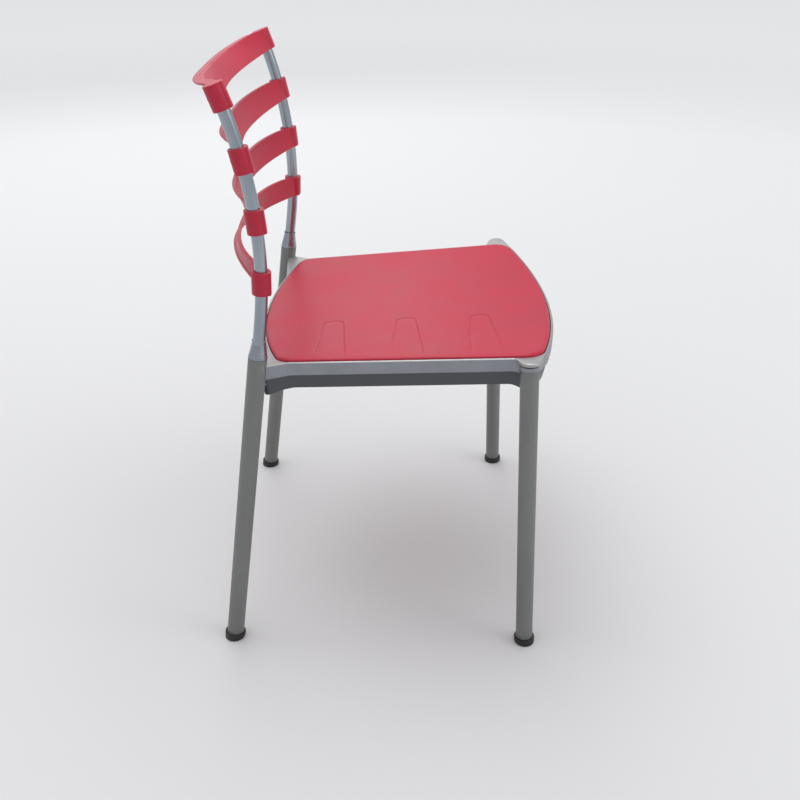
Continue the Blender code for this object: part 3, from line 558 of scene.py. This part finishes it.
def line(start, end, steps):
    return np.array(start) + (np.array(end) - np.array(start)) * np.linspace(0, 1, steps + 1)[:, None]


def bezier(a, b, c, d, steps):
    """Points of a cubic curve from a to d with handles b and c."""
    t = np.linspace(0, 1, steps + 1)[:, None]
    a, b, c, d = map(np.array, (a, b, c, d))
    return (1 - t) ** 3 * a + 3 * t * (1 - t) ** 2 * b + 3 * t * t * (1 - t) * c + t**3 * d


def spread(path, steps):
    """The same path with its points spaced evenly along it."""
    path = np.array(path)
    travel = np.concatenate(([0.0], np.cumsum(np.linalg.norm(np.diff(path, axis=0), axis=1))))
    goal = np.linspace(0, travel[-1], steps + 1)
    return np.column_stack((np.interp(goal, travel, path[:, 0]), np.interp(goal, travel, path[:, 1])))


def closed_plan(*sections):
    """Joins the +X half's sections, front middle to rear middle, and adds the mirrored half."""
    half = np.concatenate([sections[0][:1]] + [section[1:] for section in sections])
    return np.concatenate((half, (half * (-1, 1))[-2:0:-1]))


def fillet(grow, end):
    """Centre and two touching points (side line, end arc) of a rounded corner at +X.

    The centre lies one fillet radius inside the side line and inside the end arc.
    """
    corner = max((SEAT_FRONT if end < 0 else SEAT_REAR)[2] + grow, 0.001)
    centre_y, radius = end_arc(grow, end)
    inward = unit((-1.0, -SEAT_TAPER))
    along = unit((-SEAT_TAPER, 1.0))
    base = np.array((side_x(0.0, grow), 0.0)) + corner * inward
    from_centre = base - (0.0, centre_y)
    b = from_centre.dot(along)
    t = -b + end * math.sqrt(b * b - from_centre.dot(from_centre) + (radius - corner) ** 2)
    centre = base + along * t
    on_arc = np.array((0.0, centre_y)) + (centre - (0.0, centre_y)) * radius / (radius - corner)
    return centre, centre - inward * corner, on_arc


def seat_outline(grow):
    """Closed plan outline of the seat panel, grown outwards all round by a distance."""
    front, front_side, front_arc = fillet(grow, -1)
    rear, rear_side, rear_arc = fillet(grow, 1)
    return closed_plan(
        arc((0.0, end_arc(grow, -1)[0]), end_point(0.0, grow, -1), front_arc, ARC_POINTS),
        arc(front, front_arc, front_side, CORNER_POINTS),
        line(front_side, rear_side, SIDE_POINTS),
        arc(rear, rear_side, rear_arc, CORNER_POINTS),
        arc((0.0, end_arc(grow, 1)[0]), rear_arc, end_point(0.0, grow, 1), ARC_POINTS),
    )


def frame_outline(cap_radius, drawn_in):
    """Closed plan outline of the frame, drawn inwards by a distance all round.

    Front arc, tangent to a round at the front leg; an S-curve to the side line; a fold out to the
    rear leg's axis, rounded there; and a straight run back to the rear arc.
    """
    grow = LIP_WIDTH - drawn_in
    radius = cap_radius - drawn_in
    front = FRONT_LEG
    rear = REAR_LEG - drawn_in
    joint = end_point(front[0] - 0.031, grow, -1)
    front_y, rear_y = end_arc(grow, -1)[0], end_arc(grow, 1)[0]
    lead = math.atan2(joint[1] - front_y, joint[0])
    release = unit((1.0, 1.0))
    leave = front + radius * release
    touch = front + radius * np.array((math.cos(lead), math.sin(lead)))
    neck_y = front[1] + 0.0235
    neck = np.array((side_x(neck_y, grow), neck_y))
    bend = 0.009
    corner = np.concatenate((
        [joint],
        arc(front, touch, leave, CORNER_POINTS),
        bezier(leave, leave + bend * release * (-1, 1), neck - (0, bend), neck, CORNER_POINTS)[1:],
    ))
    fold = np.array((side_x(rear[1] - 0.039, grow), rear[1] - 0.039))
    back = end_point(rear[0] - 0.075, grow, 1)
    ahead = rear + 0.012 * unit(fold - rear)
    beside = rear + 0.012 * unit(back - rear)
    handles = (ahead + (rear - ahead) * 0.55, beside + (rear - beside) * 0.55)
    ear = np.concatenate(([fold], bezier(ahead, *handles, beside, CORNER_POINTS), [back]))
    return closed_plan(
        arc((0.0, front_y), end_point(0.0, grow, -1), joint, ARC_POINTS),
        spread(corner, CORNER_POINTS),
        line(neck, fold, SIDE_POINTS),
        spread(ear, CORNER_POINTS),
        arc((0.0, rear_y), back, end_point(0.0, grow, 1), ARC_POINTS),
    )


def abreast(plan, guide):
    """Points of a plan on rays from the seat's middle through the frame outline's points.

    Across the frame's corners the rays are evened out, because its path turns back on itself.
    """
    half = len(guide) // 2 + 1
    turns = np.arctan2(guide[:half, 1] - SEAT_MIDDLE_Y, guide[:half, 0])
    for first in (ARC_POINTS, ARC_POINTS + CORNER_POINTS + SIDE_POINTS):
        last = first + CORNER_POINTS
        turns[first : last + 1] = np.linspace(turns[first], turns[last], CORNER_POINTS + 1)
    plan_half = plan[: len(plan) // 2 + 1]
    angles = np.arctan2(plan_half[:, 1] - SEAT_MIDDLE_Y, plan_half[:, 0])
    found = np.column_stack([np.interp(turns, angles, plan_half[:, axis]) for axis in (0, 1)])
    return np.concatenate((found, (found * (-1, 1))[-2:0:-1]))


def on_seat(plan, drop):
    """Lifts a plan to the seat's rim line plus an offset."""
    return np.column_stack((plan, seat_height(plan[:, 0], plan[:, 1]) + drop))


def seat_point(x, y, drop):
    """A point at a distance off the rim line's surface, square to it."""
    normal = unit((-2 * SEAT_DISH * x / SEAT_HALF_WIDTH**2, SEAT_TILT, 1.0))
    return np.array((x, y, seat_height(x, y))) + normal * drop, normal


def rounded(steps=5):
    """Shares (in, up) along a quarter round: 1 - cos and sin of equal turns."""
    turn = np.linspace(0, math.pi / 2, steps + 1)
    return np.column_stack((1 - np.cos(turn), np.sin(turn)))


def smooth(value):
    """Zero below 0, one above 1, and 3 v^2 - 2 v^3 between."""
    value = np.clip(value, 0.0, 1.0)
    return value * value * (3 - 2 * value)


def foot(plan, above):
    """A ring at a height above the frame's foot, which dips where it nears a leg."""
    x, y = np.abs(plan[:, 0]), plan[:, 1]
    rear = smooth((y - REAR_LEG[1] + 0.034) / 0.028) * smooth((x - REAR_LEG[0] + 0.034) / 0.020)
    front = smooth((FRONT_LEG[1] + 0.026 - y) / 0.018) * smooth((x - FRONT_LEG[0] + 0.034) / 0.020)
    left = 1 - above / (FRAME_DEPTH - UPPER_BAND)
    return on_seat(plan, above - FRAME_DEPTH - (REAR_DIP * rear + FRONT_DIP * front) * left)


def frame_rings():
    """The ring's section, taken round: cap, lip, ledge, inner wall, foot, lower band and upper band."""
    cap = frame_outline(CAP_RADIUS, 0.0)
    web = frame_outline(WEB_RADIUS, 0.0)
    wall = LIP_WIDTH - BAND_RECESS - BAND_WALL
    lip = abreast(seat_outline(LIP_GAP), cap)
    ledge = abreast(seat_outline(LIP_WIDTH - LEDGE_WIDTH), cap)
    rings = []
    reach = np.minimum(np.linalg.norm(cap - web, axis=1)[:, None] / 0.002, 1.0)
    for inward, up in rounded(3):
        drawn = frame_outline(CAP_RADIUS, FRAME_EDGE * (1 - up))
        rings.append(on_seat(cap + (drawn - cap) * reach, -CAP_DEPTH + FRAME_EDGE * inward))
    for inward, up in rounded(8):
        rings.append(on_seat(frame_outline(CAP_RADIUS, LIP_ROUND * inward), -LIP_ROUND * (1 - up)))
    for inward, up in rounded(3)[::-1]:
        opening = abreast(seat_outline(LIP_GAP + LIP_EDGE * inward), cap)
        rings.append(on_seat(opening, -LIP_EDGE * (1 - up)))
    rings += [on_seat(lip, LEDGE_TOP), on_seat(ledge, LEDGE_TOP), on_seat(ledge, LEDGE_UNDER)]
    rings.append(on_seat(abreast(seat_outline(wall), web), LEDGE_UNDER))
    foot_in = wall - BAND_DRAFT
    rings.append(foot(abreast(seat_outline(foot_in), web), FRAME_EDGE))
    rings.append(foot(abreast(seat_outline(foot_in + FRAME_EDGE), web), 0.0))
    drawn = BAND_RECESS + BAND_DRAFT
    for inward, up in rounded(4):
        rings.append(foot(frame_outline(WEB_RADIUS, drawn + BAND_EDGE * (1 - up)), BAND_EDGE * inward))
    for share in np.linspace(0.2, 1.0, 5):
        above = BAND_EDGE + (FRAME_DEPTH - BAND_EDGE - UPPER_BAND) * share
        rings.append(foot(frame_outline(WEB_RADIUS, drawn - BAND_DRAFT * share), above))
    for inward, up in rounded(4):
        rings.append(on_seat(frame_outline(WEB_RADIUS, BAND_EDGE * (1 - up)), -UPPER_BAND + BAND_EDGE * inward))
    rings.append(on_seat(web, -CAP_DEPTH))
    return rings


cast_paint, tree, shader = new_material("cast_silver_paint", 0.42, 0.6)
depth = tree.nodes.new("ShaderNodeAttribute")
depth.attribute_name = "below_rim"
# Painted shade: the lower band is painted dark grey, standing in for the shade in its recess under the upper band.
lower_band_shade = ranged(tree, depth.outputs["Fac"], UPPER_BAND + 0.0001, UPPER_BAND + 0.001, 0.0, 0.86)
# Painted highlight: the lip's top, within about a millimetre of the rim line, is painted lighter where light from
# above falls on it.
lip_top_highlight = ranged(tree, depth.outputs["Fac"], 0.0014, 0.0006)
flakes = ranged(tree, noise(tree, "Object", (3600, 3600, 3600), 1.0), 0.45, 0.75)
clouds = ranged(tree, noise(tree, "Object", (35, 35, 35), 5.0), 0.35, 0.65)
coloured(
    tree,
    shader,
    (0.235, 0.245, 0.275),
    (clouds, (0.275, 0.285, 0.315)),
    (lip_top_highlight, (0.38, 0.375, 0.375)),
    (ranged(tree, flakes, 0.0, 1.0, 0.0, 0.5), (0.46, 0.47, 0.49)),
    (lower_band_shade, (0.055, 0.058, 0.062)),
)
tree.links.new(ranged(tree, clouds, 0.0, 1.0, 0.36, 0.46), shader.inputs["Roughness"])
relief(tree, shader, (noise(tree, "Object", (420, 420, 420), 4.0), 0.00009), (flakes, 0.00001))


def turned(name, start, axis, profile, sides):
    """A solid of revolution: (distance along the axis, radius) pairs, from one end to the other."""
    axis = unit(axis)
    return loft(name, [circle(np.asarray(start) + axis * along, axis, radius, sides) for along, radius in profile])


def rod(start, end, radius, sides=64):
    """A plain round bar, for joining to or cutting from another solid."""
    length = np.linalg.norm(np.asarray(end) - start)
    return turned("rod", start, np.asarray(end) - start, ((0.0, radius), (length, radius)), sides)


def boolean(obj, others, operation):
    """Applies one Boolean with the other objects, which don't touch one another and are then removed."""
    cutter = others[0]
    with bpy.context.temp_override(active_object=cutter, selected_editable_objects=others):
        bpy.ops.object.join()
    modifier = obj.modifiers.new("boolean", "BOOLEAN")
    modifier.operation = operation
    modifier.solver = "EXACT"
    modifier.object = cutter
    graph = bpy.context.evaluated_depsgraph_get()
    mesh = bpy.data.meshes.new_from_object(obj.evaluated_get(graph))
    obj.modifiers.clear()
    obj.data = mesh
    bpy.data.objects.remove(cutter, do_unlink=True)


BOLT_DROP = 0.027
CAP_RING_WALL = 0.0008
SCREW_HOLE_RADIUS = 0.0023


def bolt_line(end, side):
    """(point on the leg's axis, direction outwards): a front bolt runs sideways, a rear one diagonally."""
    axis, place = (front_axis, FRONT_LEG) if end == "front" else (rear_axis, REAR_LEG)
    centre = axis(side, seat_height(*place) - BOLT_DROP)
    return centre, unit((side, 0, 0) if end == "front" else (side, 1, 0))


BOLT_SEATS = {"front": 0.022, "rear": 0.030}


def screw_places():
    """Names and plan points of the seat screws, all 12 mm in from the rim."""
    places = {}
    for side_name, side in SIDES:
        for name, (x, y) in (
            ("front", end_point(SEAT_HALF_WIDTH / 2, -0.012, -1)),
            ("middle", (side_x(0.0, -0.012), 0.0)),
            ("rear", end_point(SEAT_HALF_WIDTH / 2, -0.012, 1)),
        ):
            places[f"{name}_{side_name}"] = (side * x, y)
    return places


def make_frame():
    """The ring with pads and leg rings joined on, cleared for the legs, plugged into them and drilled."""
    seat_frame = loft("frame_casting", frame_rings(), closed=True)
    clear = LEG_OD / 2 + GAP
    added, cleared, drilled = [], [], []
    for _, side in SIDES:
        near = side * (FRONT_LEG[0] - BOLT_SEATS["front"] - 0.002)
        wall = side_x(FRONT_LEG[1], LIP_WIDTH) - BAND_RECESS - BAND_WALL / 2
        pad = []
        for drop, reach in ((-FRAME_DEPTH, wall - BAND_DRAFT), (LEDGE_UNDER + 0.0015, wall)):
            low, high = FRONT_LEG[1] - 0.013, FRONT_LEG[1] + 0.013
            far = side * reach
            pad.append(on_seat(np.array(((near, low), (far, low), (far, high), (near, high))), drop))
        added.append(loft("pad", pad))
        under = front_cap_under()
        low, high = front_axis(side, under - CAP_RING), front_axis(side, under + 0.001)
        added.append(rod(low, high, clear + CAP_RING_WALL, TUBE_SIDES))
        cleared.append(rod(front_axis(side, under - FRAME_DEPTH), front_axis(side, under), clear, TUBE_SIDES))
        low, high = rear_axis(side, SEAT_Z - 2 * FRAME_DEPTH), rear_axis(side, SEAT_Z + 2 * FRAME_DEPTH)
        cleared.append(rod(low, high, clear, TUBE_SIDES))
        for end, seat in BOLT_SEATS.items():
            centre, outwards = bolt_line(end, side)
            profile = ((-seat - 0.022, 0.0058), (-seat, 0.0058), (-seat, 0.0033), (0.0053, 0.0033))
            drilled.append(turned("bolt_hole", centre, outwards, profile, 32))
    for x, y in screw_places().values():
        low, high = seat_point(x, y, LEDGE_UNDER - 0.003)[0], seat_point(x, y, LEDGE_TOP + 0.003)[0]
        drilled.append(rod(low, high, SCREW_HOLE_RADIUS, 24))
    boolean(seat_frame, added, "UNION")
    boolean(seat_frame, cleared, "DIFFERENCE")
    under = front_cap_under()
    spigots = []
    for _, side in SIDES:
        low = front_axis(side, bolt_line("front", side)[0][2] - 0.0172)
        high = front_axis(side, under + CAP_DEPTH / 2)
        spigots.append(rod(low, high, LEG_OD / 2 - LEG_WALL - GAP, TUBE_SIDES))
    boolean(seat_frame, spigots, "UNION")
    boolean(seat_frame, drilled, "DIFFERENCE")
    points = np.empty(3 * len(seat_frame.data.vertices), np.float32)
    seat_frame.data.vertices.foreach_get("co", points)
    x, y, z = points.reshape(-1, 3).T
    below = seat_height(x, y) - z
    # Over each front leg the cap's sides are counted as lying at the rim, so the lip's painted highlight covers
    # them as well.
    over_leg_highlight = smooth((CAP_RADIUS + 0.003 - np.hypot(np.abs(x) - FRONT_LEG[0], y - FRONT_LEG[1])) / 0.003)
    below -= CAP_DEPTH * over_leg_highlight * (below < CAP_DEPTH + 0.0003)
    seat_frame.data.attributes.new("below_rim", "FLOAT", "POINT").data.foreach_set("value", below)
    return dress(seat_frame, cast_paint, "cast_aluminium", "seat_frame")


make_frame()

# The seat panel: one red moulded panel, dished across, crowned a little and rolled over at its rim,
# which turns down inside the frame's lip. Screws from below hold it by six bosses. Three shallow
# tongue-shaped grooves lie on the half near the camera.
PANEL_CROWN = 0.004
PANEL_ROLL = 0.007
PANEL_WALL = 0.004
BOSS_RADIUS = 0.0053

red, tree, shader = new_material("red_moulding", 0.38, specular=0.34)
texture = noise(tree, "Object", (1500, 1500, 1500), 2.0)
clouds = ranged(tree, noise(tree, "Object", (16, 16, 16), 4.0), 0.35, 0.65)
scratches = ranged(tree, noise(tree, "Object", (500, 26, 26), 5.0), 0.70, 0.76, 0.0, 0.5)
coloured(
    tree,
    shader,
    (0.43, 0.0145, 0.040),
    (clouds, (0.475, 0.017, 0.046)),
    (scratches, (0.55, 0.045, 0.075)),
)
tree.links.new(ranged(tree, clouds, 0.0, 1.0, 0.34, 0.43), shader.inputs["Roughness"])
relief(tree, shader, (texture, 0.00004), (scratches, 0.00002))


def shrunk(plan, factor):
    """A plan drawn in towards the middle of the seat."""
    return np.array((0.0, SEAT_MIDDLE_Y)) + (plan - (0.0, SEAT_MIDDLE_Y)) * factor


TONGUE_PLACES = (0.0747, -0.0300, -0.1360)
TONGUE_TIP = 0.0505
TONGUE_ROUND = 0.014
TONGUE_RIM_HALF = 0.0215
TONGUE_RISE = 0.009
TONGUE_FADE = 0.0028
GROOVE_RADIUS = 0.0010
GROOVE_LIFT = 0.0004


def groove(side, y):
    """A round bar along a tongue's outline on the panel: rim, round tip near the middle, and rim.

    Its axis runs just above the surface, and higher towards the rim and along the rear edge of the
    tongue, so that the groove fades out there.
    """
    tip = TONGUE_TIP + TONGUE_RISE
    rim = side_x(y, -PANEL_ROLL - 0.001)
    turn = np.linspace(-math.pi / 2, -1.5 * math.pi, 33)
    round_tip = np.column_stack((tip + TONGUE_RISE * np.cos(turn), y + TONGUE_ROUND * np.sin(turn)))
    ahead = line((rim, y - TONGUE_RIM_HALF), round_tip[0], 24)
    path = np.concatenate((ahead[:-1], round_tip, line(round_tip[-1], (rim, y + TONGUE_RIM_HALF), 24)[1:]))
    path[:, 0] *= side
    fade = np.clip((np.abs(path[:, 0]) - rim + 0.02) / 0.02, 0.0, 1.0)
    rearward = np.clip((path[:, 1] - y - TONGUE_ROUND) / TONGUE_FADE, 0.0, 1.0)
    lift = PANEL_CROWN + GROOVE_LIFT + 0.0004 * fade + 0.0005 * rearward
    centres = on_seat(path, lift)
    tangent = np.gradient(centres, axis=0)
    tangent /= np.linalg.norm(tangent, axis=1)[:, None]
    beside = np.cross(tangent, (0.0, 0.0, 1.0))
    beside /= np.linalg.norm(beside, axis=1)[:, None]
    above = np.cross(beside, tangent)
    rings = []
    for t in 2 * math.pi * np.arange(12) / 12:
        rings.append(centres + GROOVE_RADIUS * (math.cos(t) * beside + math.sin(t) * above))
    return loft("groove", np.stack(rings, 1))


def make_panel():
    """Rings from the underside's middle out, round the rim and over the rolled edge to the top's middle."""
    under = PANEL_CROWN - PANEL_WALL
    inner = seat_outline(-PANEL_WALL)
    rings = [on_seat(shrunk(inner, factor), under) for factor in (0.02, 0.2, 0.4, 0.6, 0.8)]
    rings += [on_seat(inner, under), on_seat(inner, -PANEL_RIM_DEPTH)]
    rings.append(on_seat(seat_outline(0.0), -PANEL_RIM_DEPTH))
    for inward, up in rounded(10):
        rings.append(on_seat(seat_outline(-PANEL_ROLL * inward), PANEL_CROWN * up))
    field = seat_outline(-PANEL_ROLL)
    rings += [on_seat(shrunk(field, factor), PANEL_CROWN) for factor in np.linspace(0.97, 0.02, 30)]
    panel = loft("seat_moulding", rings)
    bosses, holes = [], []
    for x, y in screw_places().values():
        low, high = seat_point(x, y, -PANEL_RIM_DEPTH)[0], seat_point(x, y, under + 0.002)[0]
        bosses.append(rod(low, high, BOSS_RADIUS, 32))
        low, high = seat_point(x, y, -2 * PANEL_RIM_DEPTH)[0], seat_point(x, y, -0.0005)[0]
        holes.append(rod(low, high, SCREW_HOLE_RADIUS, 24))
    boolean(panel, bosses, "UNION")
    boolean(panel, holes, "DIFFERENCE")
    boolean(panel, [groove(-1, y) for y in TONGUE_PLACES], "DIFFERENCE")
    return dress(panel, red, "red_plastic", "seat_panel")


make_panel()

# Four back slats, top one first: red moulded bands with a stiffening flange along both edges, bowed
# back between a sleeve at each end. The sleeves are threaded on the posts and screwed from behind.
SLAT_BOWS = ((0.050, 0.037), (0.053, 0.040), (0.055, 0.051), (0.058, 0.070))
SLAT_MID_HEIGHT = 0.029
SLEEVE_RADIUS = 0.0123
SLAT_WEB = 0.004
SLAT_FLANGE = 0.0055
TOP_FLANGE = 0.0145
FLANGE_WALL = 0.0035
SLAT_CORNER = 0.0028
SLAT_EDGE = 0.0009
SLAT_SCREW_FACE = SLEEVE_RADIUS - 0.0018
END_PLATE = 0.006
BAND_END = POST_X + 0.008
STEP_WIDTH = 0.0006
STEP_HEIGHT = 0.00035


def slat_face(x, share, bows):
    """Depth of the face from the posts' axes at a height share from -1 to 1.

    Each edge follows bow * (1 - |x / post X| ** power), and the face blends between the edges.
    """
    reach = np.minimum(np.abs(x) / POST_X, 1.0)
    upper = bows[0] * (1 - reach**3.0)
    lower = bows[1] * (1 - reach**1.85)
    return lower + (upper - lower) * (share + 1) / 2 - SLEEVE_RADIUS


def slat_plan(share, flange, bows):
    """Closed outline (x, depth) of the band at a height share: face, rounded corner, end and rear.

    The face steps forward by a third of a millimetre over each sleeve.
    """
    step = POST_X - END_PLATE
    stretches = (
        (0, step - 0.001, 60),
        (step, step + STEP_WIDTH, 4),
        (step + 0.002, BAND_END - SLAT_CORNER, 12),
    )
    x = np.concatenate([np.linspace(*stretch) for stretch in stretches])
    stepped = STEP_HEIGHT * np.clip((x - step) / STEP_WIDTH, 0.0, 1.0)
    face = np.column_stack((x, slat_face(x, share, bows) - stepped))
    behind = face[-1, 1] + SLAT_CORNER
    corner = arc((BAND_END - SLAT_CORNER, behind), face[-1], (BAND_END, behind), 10)
    x = np.linspace(BAND_END, 0, 90)
    rear = np.column_stack((x, slat_face(x, share, bows) + flange))
    return closed_plan(face, corner, line(corner[-1], rear[0], 4), rear)


def drawn_in(plan, distance):
    """A closed plan moved inwards along its normals."""
    ahead = np.roll(plan, -1, 0) - np.roll(plan, 1, 0)
    ahead /= np.linalg.norm(ahead, axis=1)[:, None]
    return plan + distance * np.column_stack((-ahead[:, 1], ahead[:, 0]))


def slat_levels(top_flange):
    """(share of half the height, offset, flange depth, drawn in) from the lower edge to the upper one."""
    edge = [(0.0, SLAT_EDGE + 0.0004)]
    edge += [(SLAT_EDGE * inward, SLAT_EDGE * (1 - up)) for inward, up in rounded(4)]
    levels = [(-1, offset, SLAT_FLANGE, inside) for offset, inside in edge]
    levels += [(-1, FLANGE_WALL - 0.0003, SLAT_FLANGE, 0.0), (-1, FLANGE_WALL + 0.0002, SLAT_WEB, 0.0)]
    levels += [(share, 0.0, SLAT_WEB, 0.0) for share in (-0.5, -0.25, 0.0, 0.25, 0.5)]
    levels += [(1, -FLANGE_WALL - 0.0002, SLAT_WEB, 0.0), (1, 0.0003 - FLANGE_WALL, top_flange, 0.0)]
    levels += [(1, -offset, top_flange, inside) for offset, inside in edge[::-1]]
    return levels


def slat_band(index):
    """The solid band, lofted from the lower edge to the upper one, which drops a little at the posts."""
    bows = SLAT_BOWS[index]
    point, along, back = post_frame(1, SLAT_PLACES[index])
    plans, rings = [], []
    for share, offset, flange, inside in slat_levels(SLAT_FLANGE if index else TOP_FLANGE):
        plan = drawn_in(slat_plan(share + offset / (SLAT_MID_HEIGHT / 2), flange, bows), inside)
        middle = 1 - np.minimum(np.abs(plan[:, 0]) / POST_X, 1.0) ** 2
        height = share * (SLAT_END_HEIGHT + (SLAT_MID_HEIGHT - SLAT_END_HEIGHT) * middle) / 2 + offset
        height -= END_TRIM * (share + 1) / 2 * smooth((np.abs(plan[:, 0]) - POST_X + 0.032) / 0.022)
        ring = np.column_stack((plan[:, 0], np.full(len(plan), point[1]), np.full(len(plan), point[2])))
        rings.append(ring + plan[:, 1:] * back + height[:, None] * along)
        plans.append(plan)
    return loft(f"band_{index + 1}", rings, outlines=plans)


def slat_sleeve(index, side):
    """A turned collar round the post, its edges rounded, a hair taller than the band."""
    point, along, _ = post_frame(side, SLAT_PLACES[index])
    low = -SLAT_END_HEIGHT / 2 - 0.00005
    high = SLAT_END_HEIGHT / 2 - END_TRIM + 0.00005
    edge = [(SLAT_EDGE * inward, SLEEVE_RADIUS - SLAT_EDGE * (1 - up)) for inward, up in rounded(4)]
    profile = [(low + along_edge, radius) for along_edge, radius in edge]
    profile += [(high - along_edge, radius) for along_edge, radius in edge[::-1]]
    return turned("sleeve", point, along, profile, 128)


def make_slat(index):
    """The band with a sleeve joined on at each end, bored for the posts and drilled for the screws."""
    slat = slat_band(index)
    boolean(slat, [slat_sleeve(index, side) for _, side in SIDES], "UNION")
    place = SLAT_PLACES[index]
    bore_top = POST_TOP_S + GAP if index == 0 else place + SLAT_END_HEIGHT / 2 + 0.004
    bore = np.linspace(place - SLAT_END_HEIGHT / 2 - 0.004, bore_top, 9)
    boolean(slat, [loft("bore", post_rings(side, bore, POST_OD / 2 + GAP)) for _, side in SIDES], "DIFFERENCE")
    holes = []
    for _, side in SIDES:
        centre, _, back = post_frame(side, place)
        profile = ((0.0, 0.0018), (SLAT_SCREW_FACE, 0.0018))
        profile += ((SLAT_SCREW_FACE, 0.0033), (2 * SLEEVE_RADIUS, 0.0033))
        holes.append(turned("screw_hole", centre, back, profile, 32))
    boolean(slat, holes, "DIFFERENCE")
    return dress(slat, red, "red_plastic", f"back_slat_{index + 1}")


for slat_index in range(4):
    make_slat(slat_index)

# Eighteen zinc-plated screws with a hexagon socket: six from below through the frame's ledge into the
# panel, one from inside the frame into each leg, and one from behind through each sleeve.
SCREW_SIDES = 48
SHANK_EDGE = 0.0005
SEAT_SCREW_LENGTH = 0.0085
LEG_BOLT_REACH = 0.005
SEAT_SCREW = (0.004, 0.008, 0.0025)
LEG_BOLT = (0.006, 0.011, 0.004)
SLAT_SCREW = (0.003, 0.006, 0.0016)

zinc, tree, shader = new_material("zinc_plate", 0.34, 0.95)
grain = noise(tree, "Object", (1800, 1800, 1800), 3.0)
patches = ranged(tree, noise(tree, "Object", (400, 400, 400)), 0.35, 0.65)
coloured(tree, shader, (0.46, 0.46, 0.44), (patches, (0.60, 0.59, 0.55)))
tree.links.new(ranged(tree, grain, 0.3, 0.7, 0.26, 0.44), shader.inputs["Roughness"])
relief(tree, shader, (grain, 0.00002))


def make_screw(name, node, face, direction, length, size):
    """Socket floor, socket wall, rounded head, flat underside and plain shank, taken along the axis.

    A size is (shank, head, head height). The socket's ring is a hexagon: apothem / cos(turn within
    a sixth, from its middle).
    """
    shank, head, head_height = size
    axis = unit(direction)
    turn = 2 * math.pi * np.arange(SCREW_SIDES)[:, None] / SCREW_SIDES
    hexagon = 0.27 * head / np.cos((turn + math.pi / 6) % (math.pi / 3) - math.pi / 6)
    top = -head_height - GAP
    profile = [(top + 0.6 * head_height, hexagon), (top, hexagon)]
    profile += [(top + 0.4 * head_height * inward, head / 2 * (0.75 + 0.25 * up)) for inward, up in rounded(5)]
    profile += [(-GAP, head / 2), (-GAP, shank / 2)]
    profile += [(length - SHANK_EDGE, shank / 2), (length, shank / 2 - SHANK_EDGE)]
    rings = [circle(face + axis * along, axis, radius, SCREW_SIDES) for along, radius in profile]
    return dress(loft(name, rings), zinc, "zinc_steel", node)


for screw_name, (screw_x, screw_y) in screw_places().items():
    face, normal = seat_point(screw_x, screw_y, LEDGE_UNDER)
    name, node = f"panel_screw_{screw_name}", f"seat_screw_{screw_name}"
    make_screw(name, node, face, normal, SEAT_SCREW_LENGTH, SEAT_SCREW)
for bolt_end, seat in BOLT_SEATS.items():
    for bolt_side, bolt_sign in SIDES:
        centre, outwards = bolt_line(bolt_end, bolt_sign)
        name, node = f"bolt_{bolt_end}_{bolt_side}", f"leg_bolt_{bolt_end}_{bolt_side}"
        make_screw(name, node, centre - outwards * seat, outwards, seat + LEG_BOLT_REACH, LEG_BOLT)
for slat_index, place in enumerate(SLAT_PLACES):
    for pin_side, pin_sign in SIDES:
        centre, _, back = post_frame(pin_sign, place)
        name = f"band_screw_{slat_index + 1}_{pin_side}"
        node = f"slat_screw_{slat_index + 1}_{pin_side}"
        face = centre + back * SLAT_SCREW_FACE
        make_screw(name, node, face, -back, SLAT_SCREW_FACE - POST_OD / 4, SLAT_SCREW)
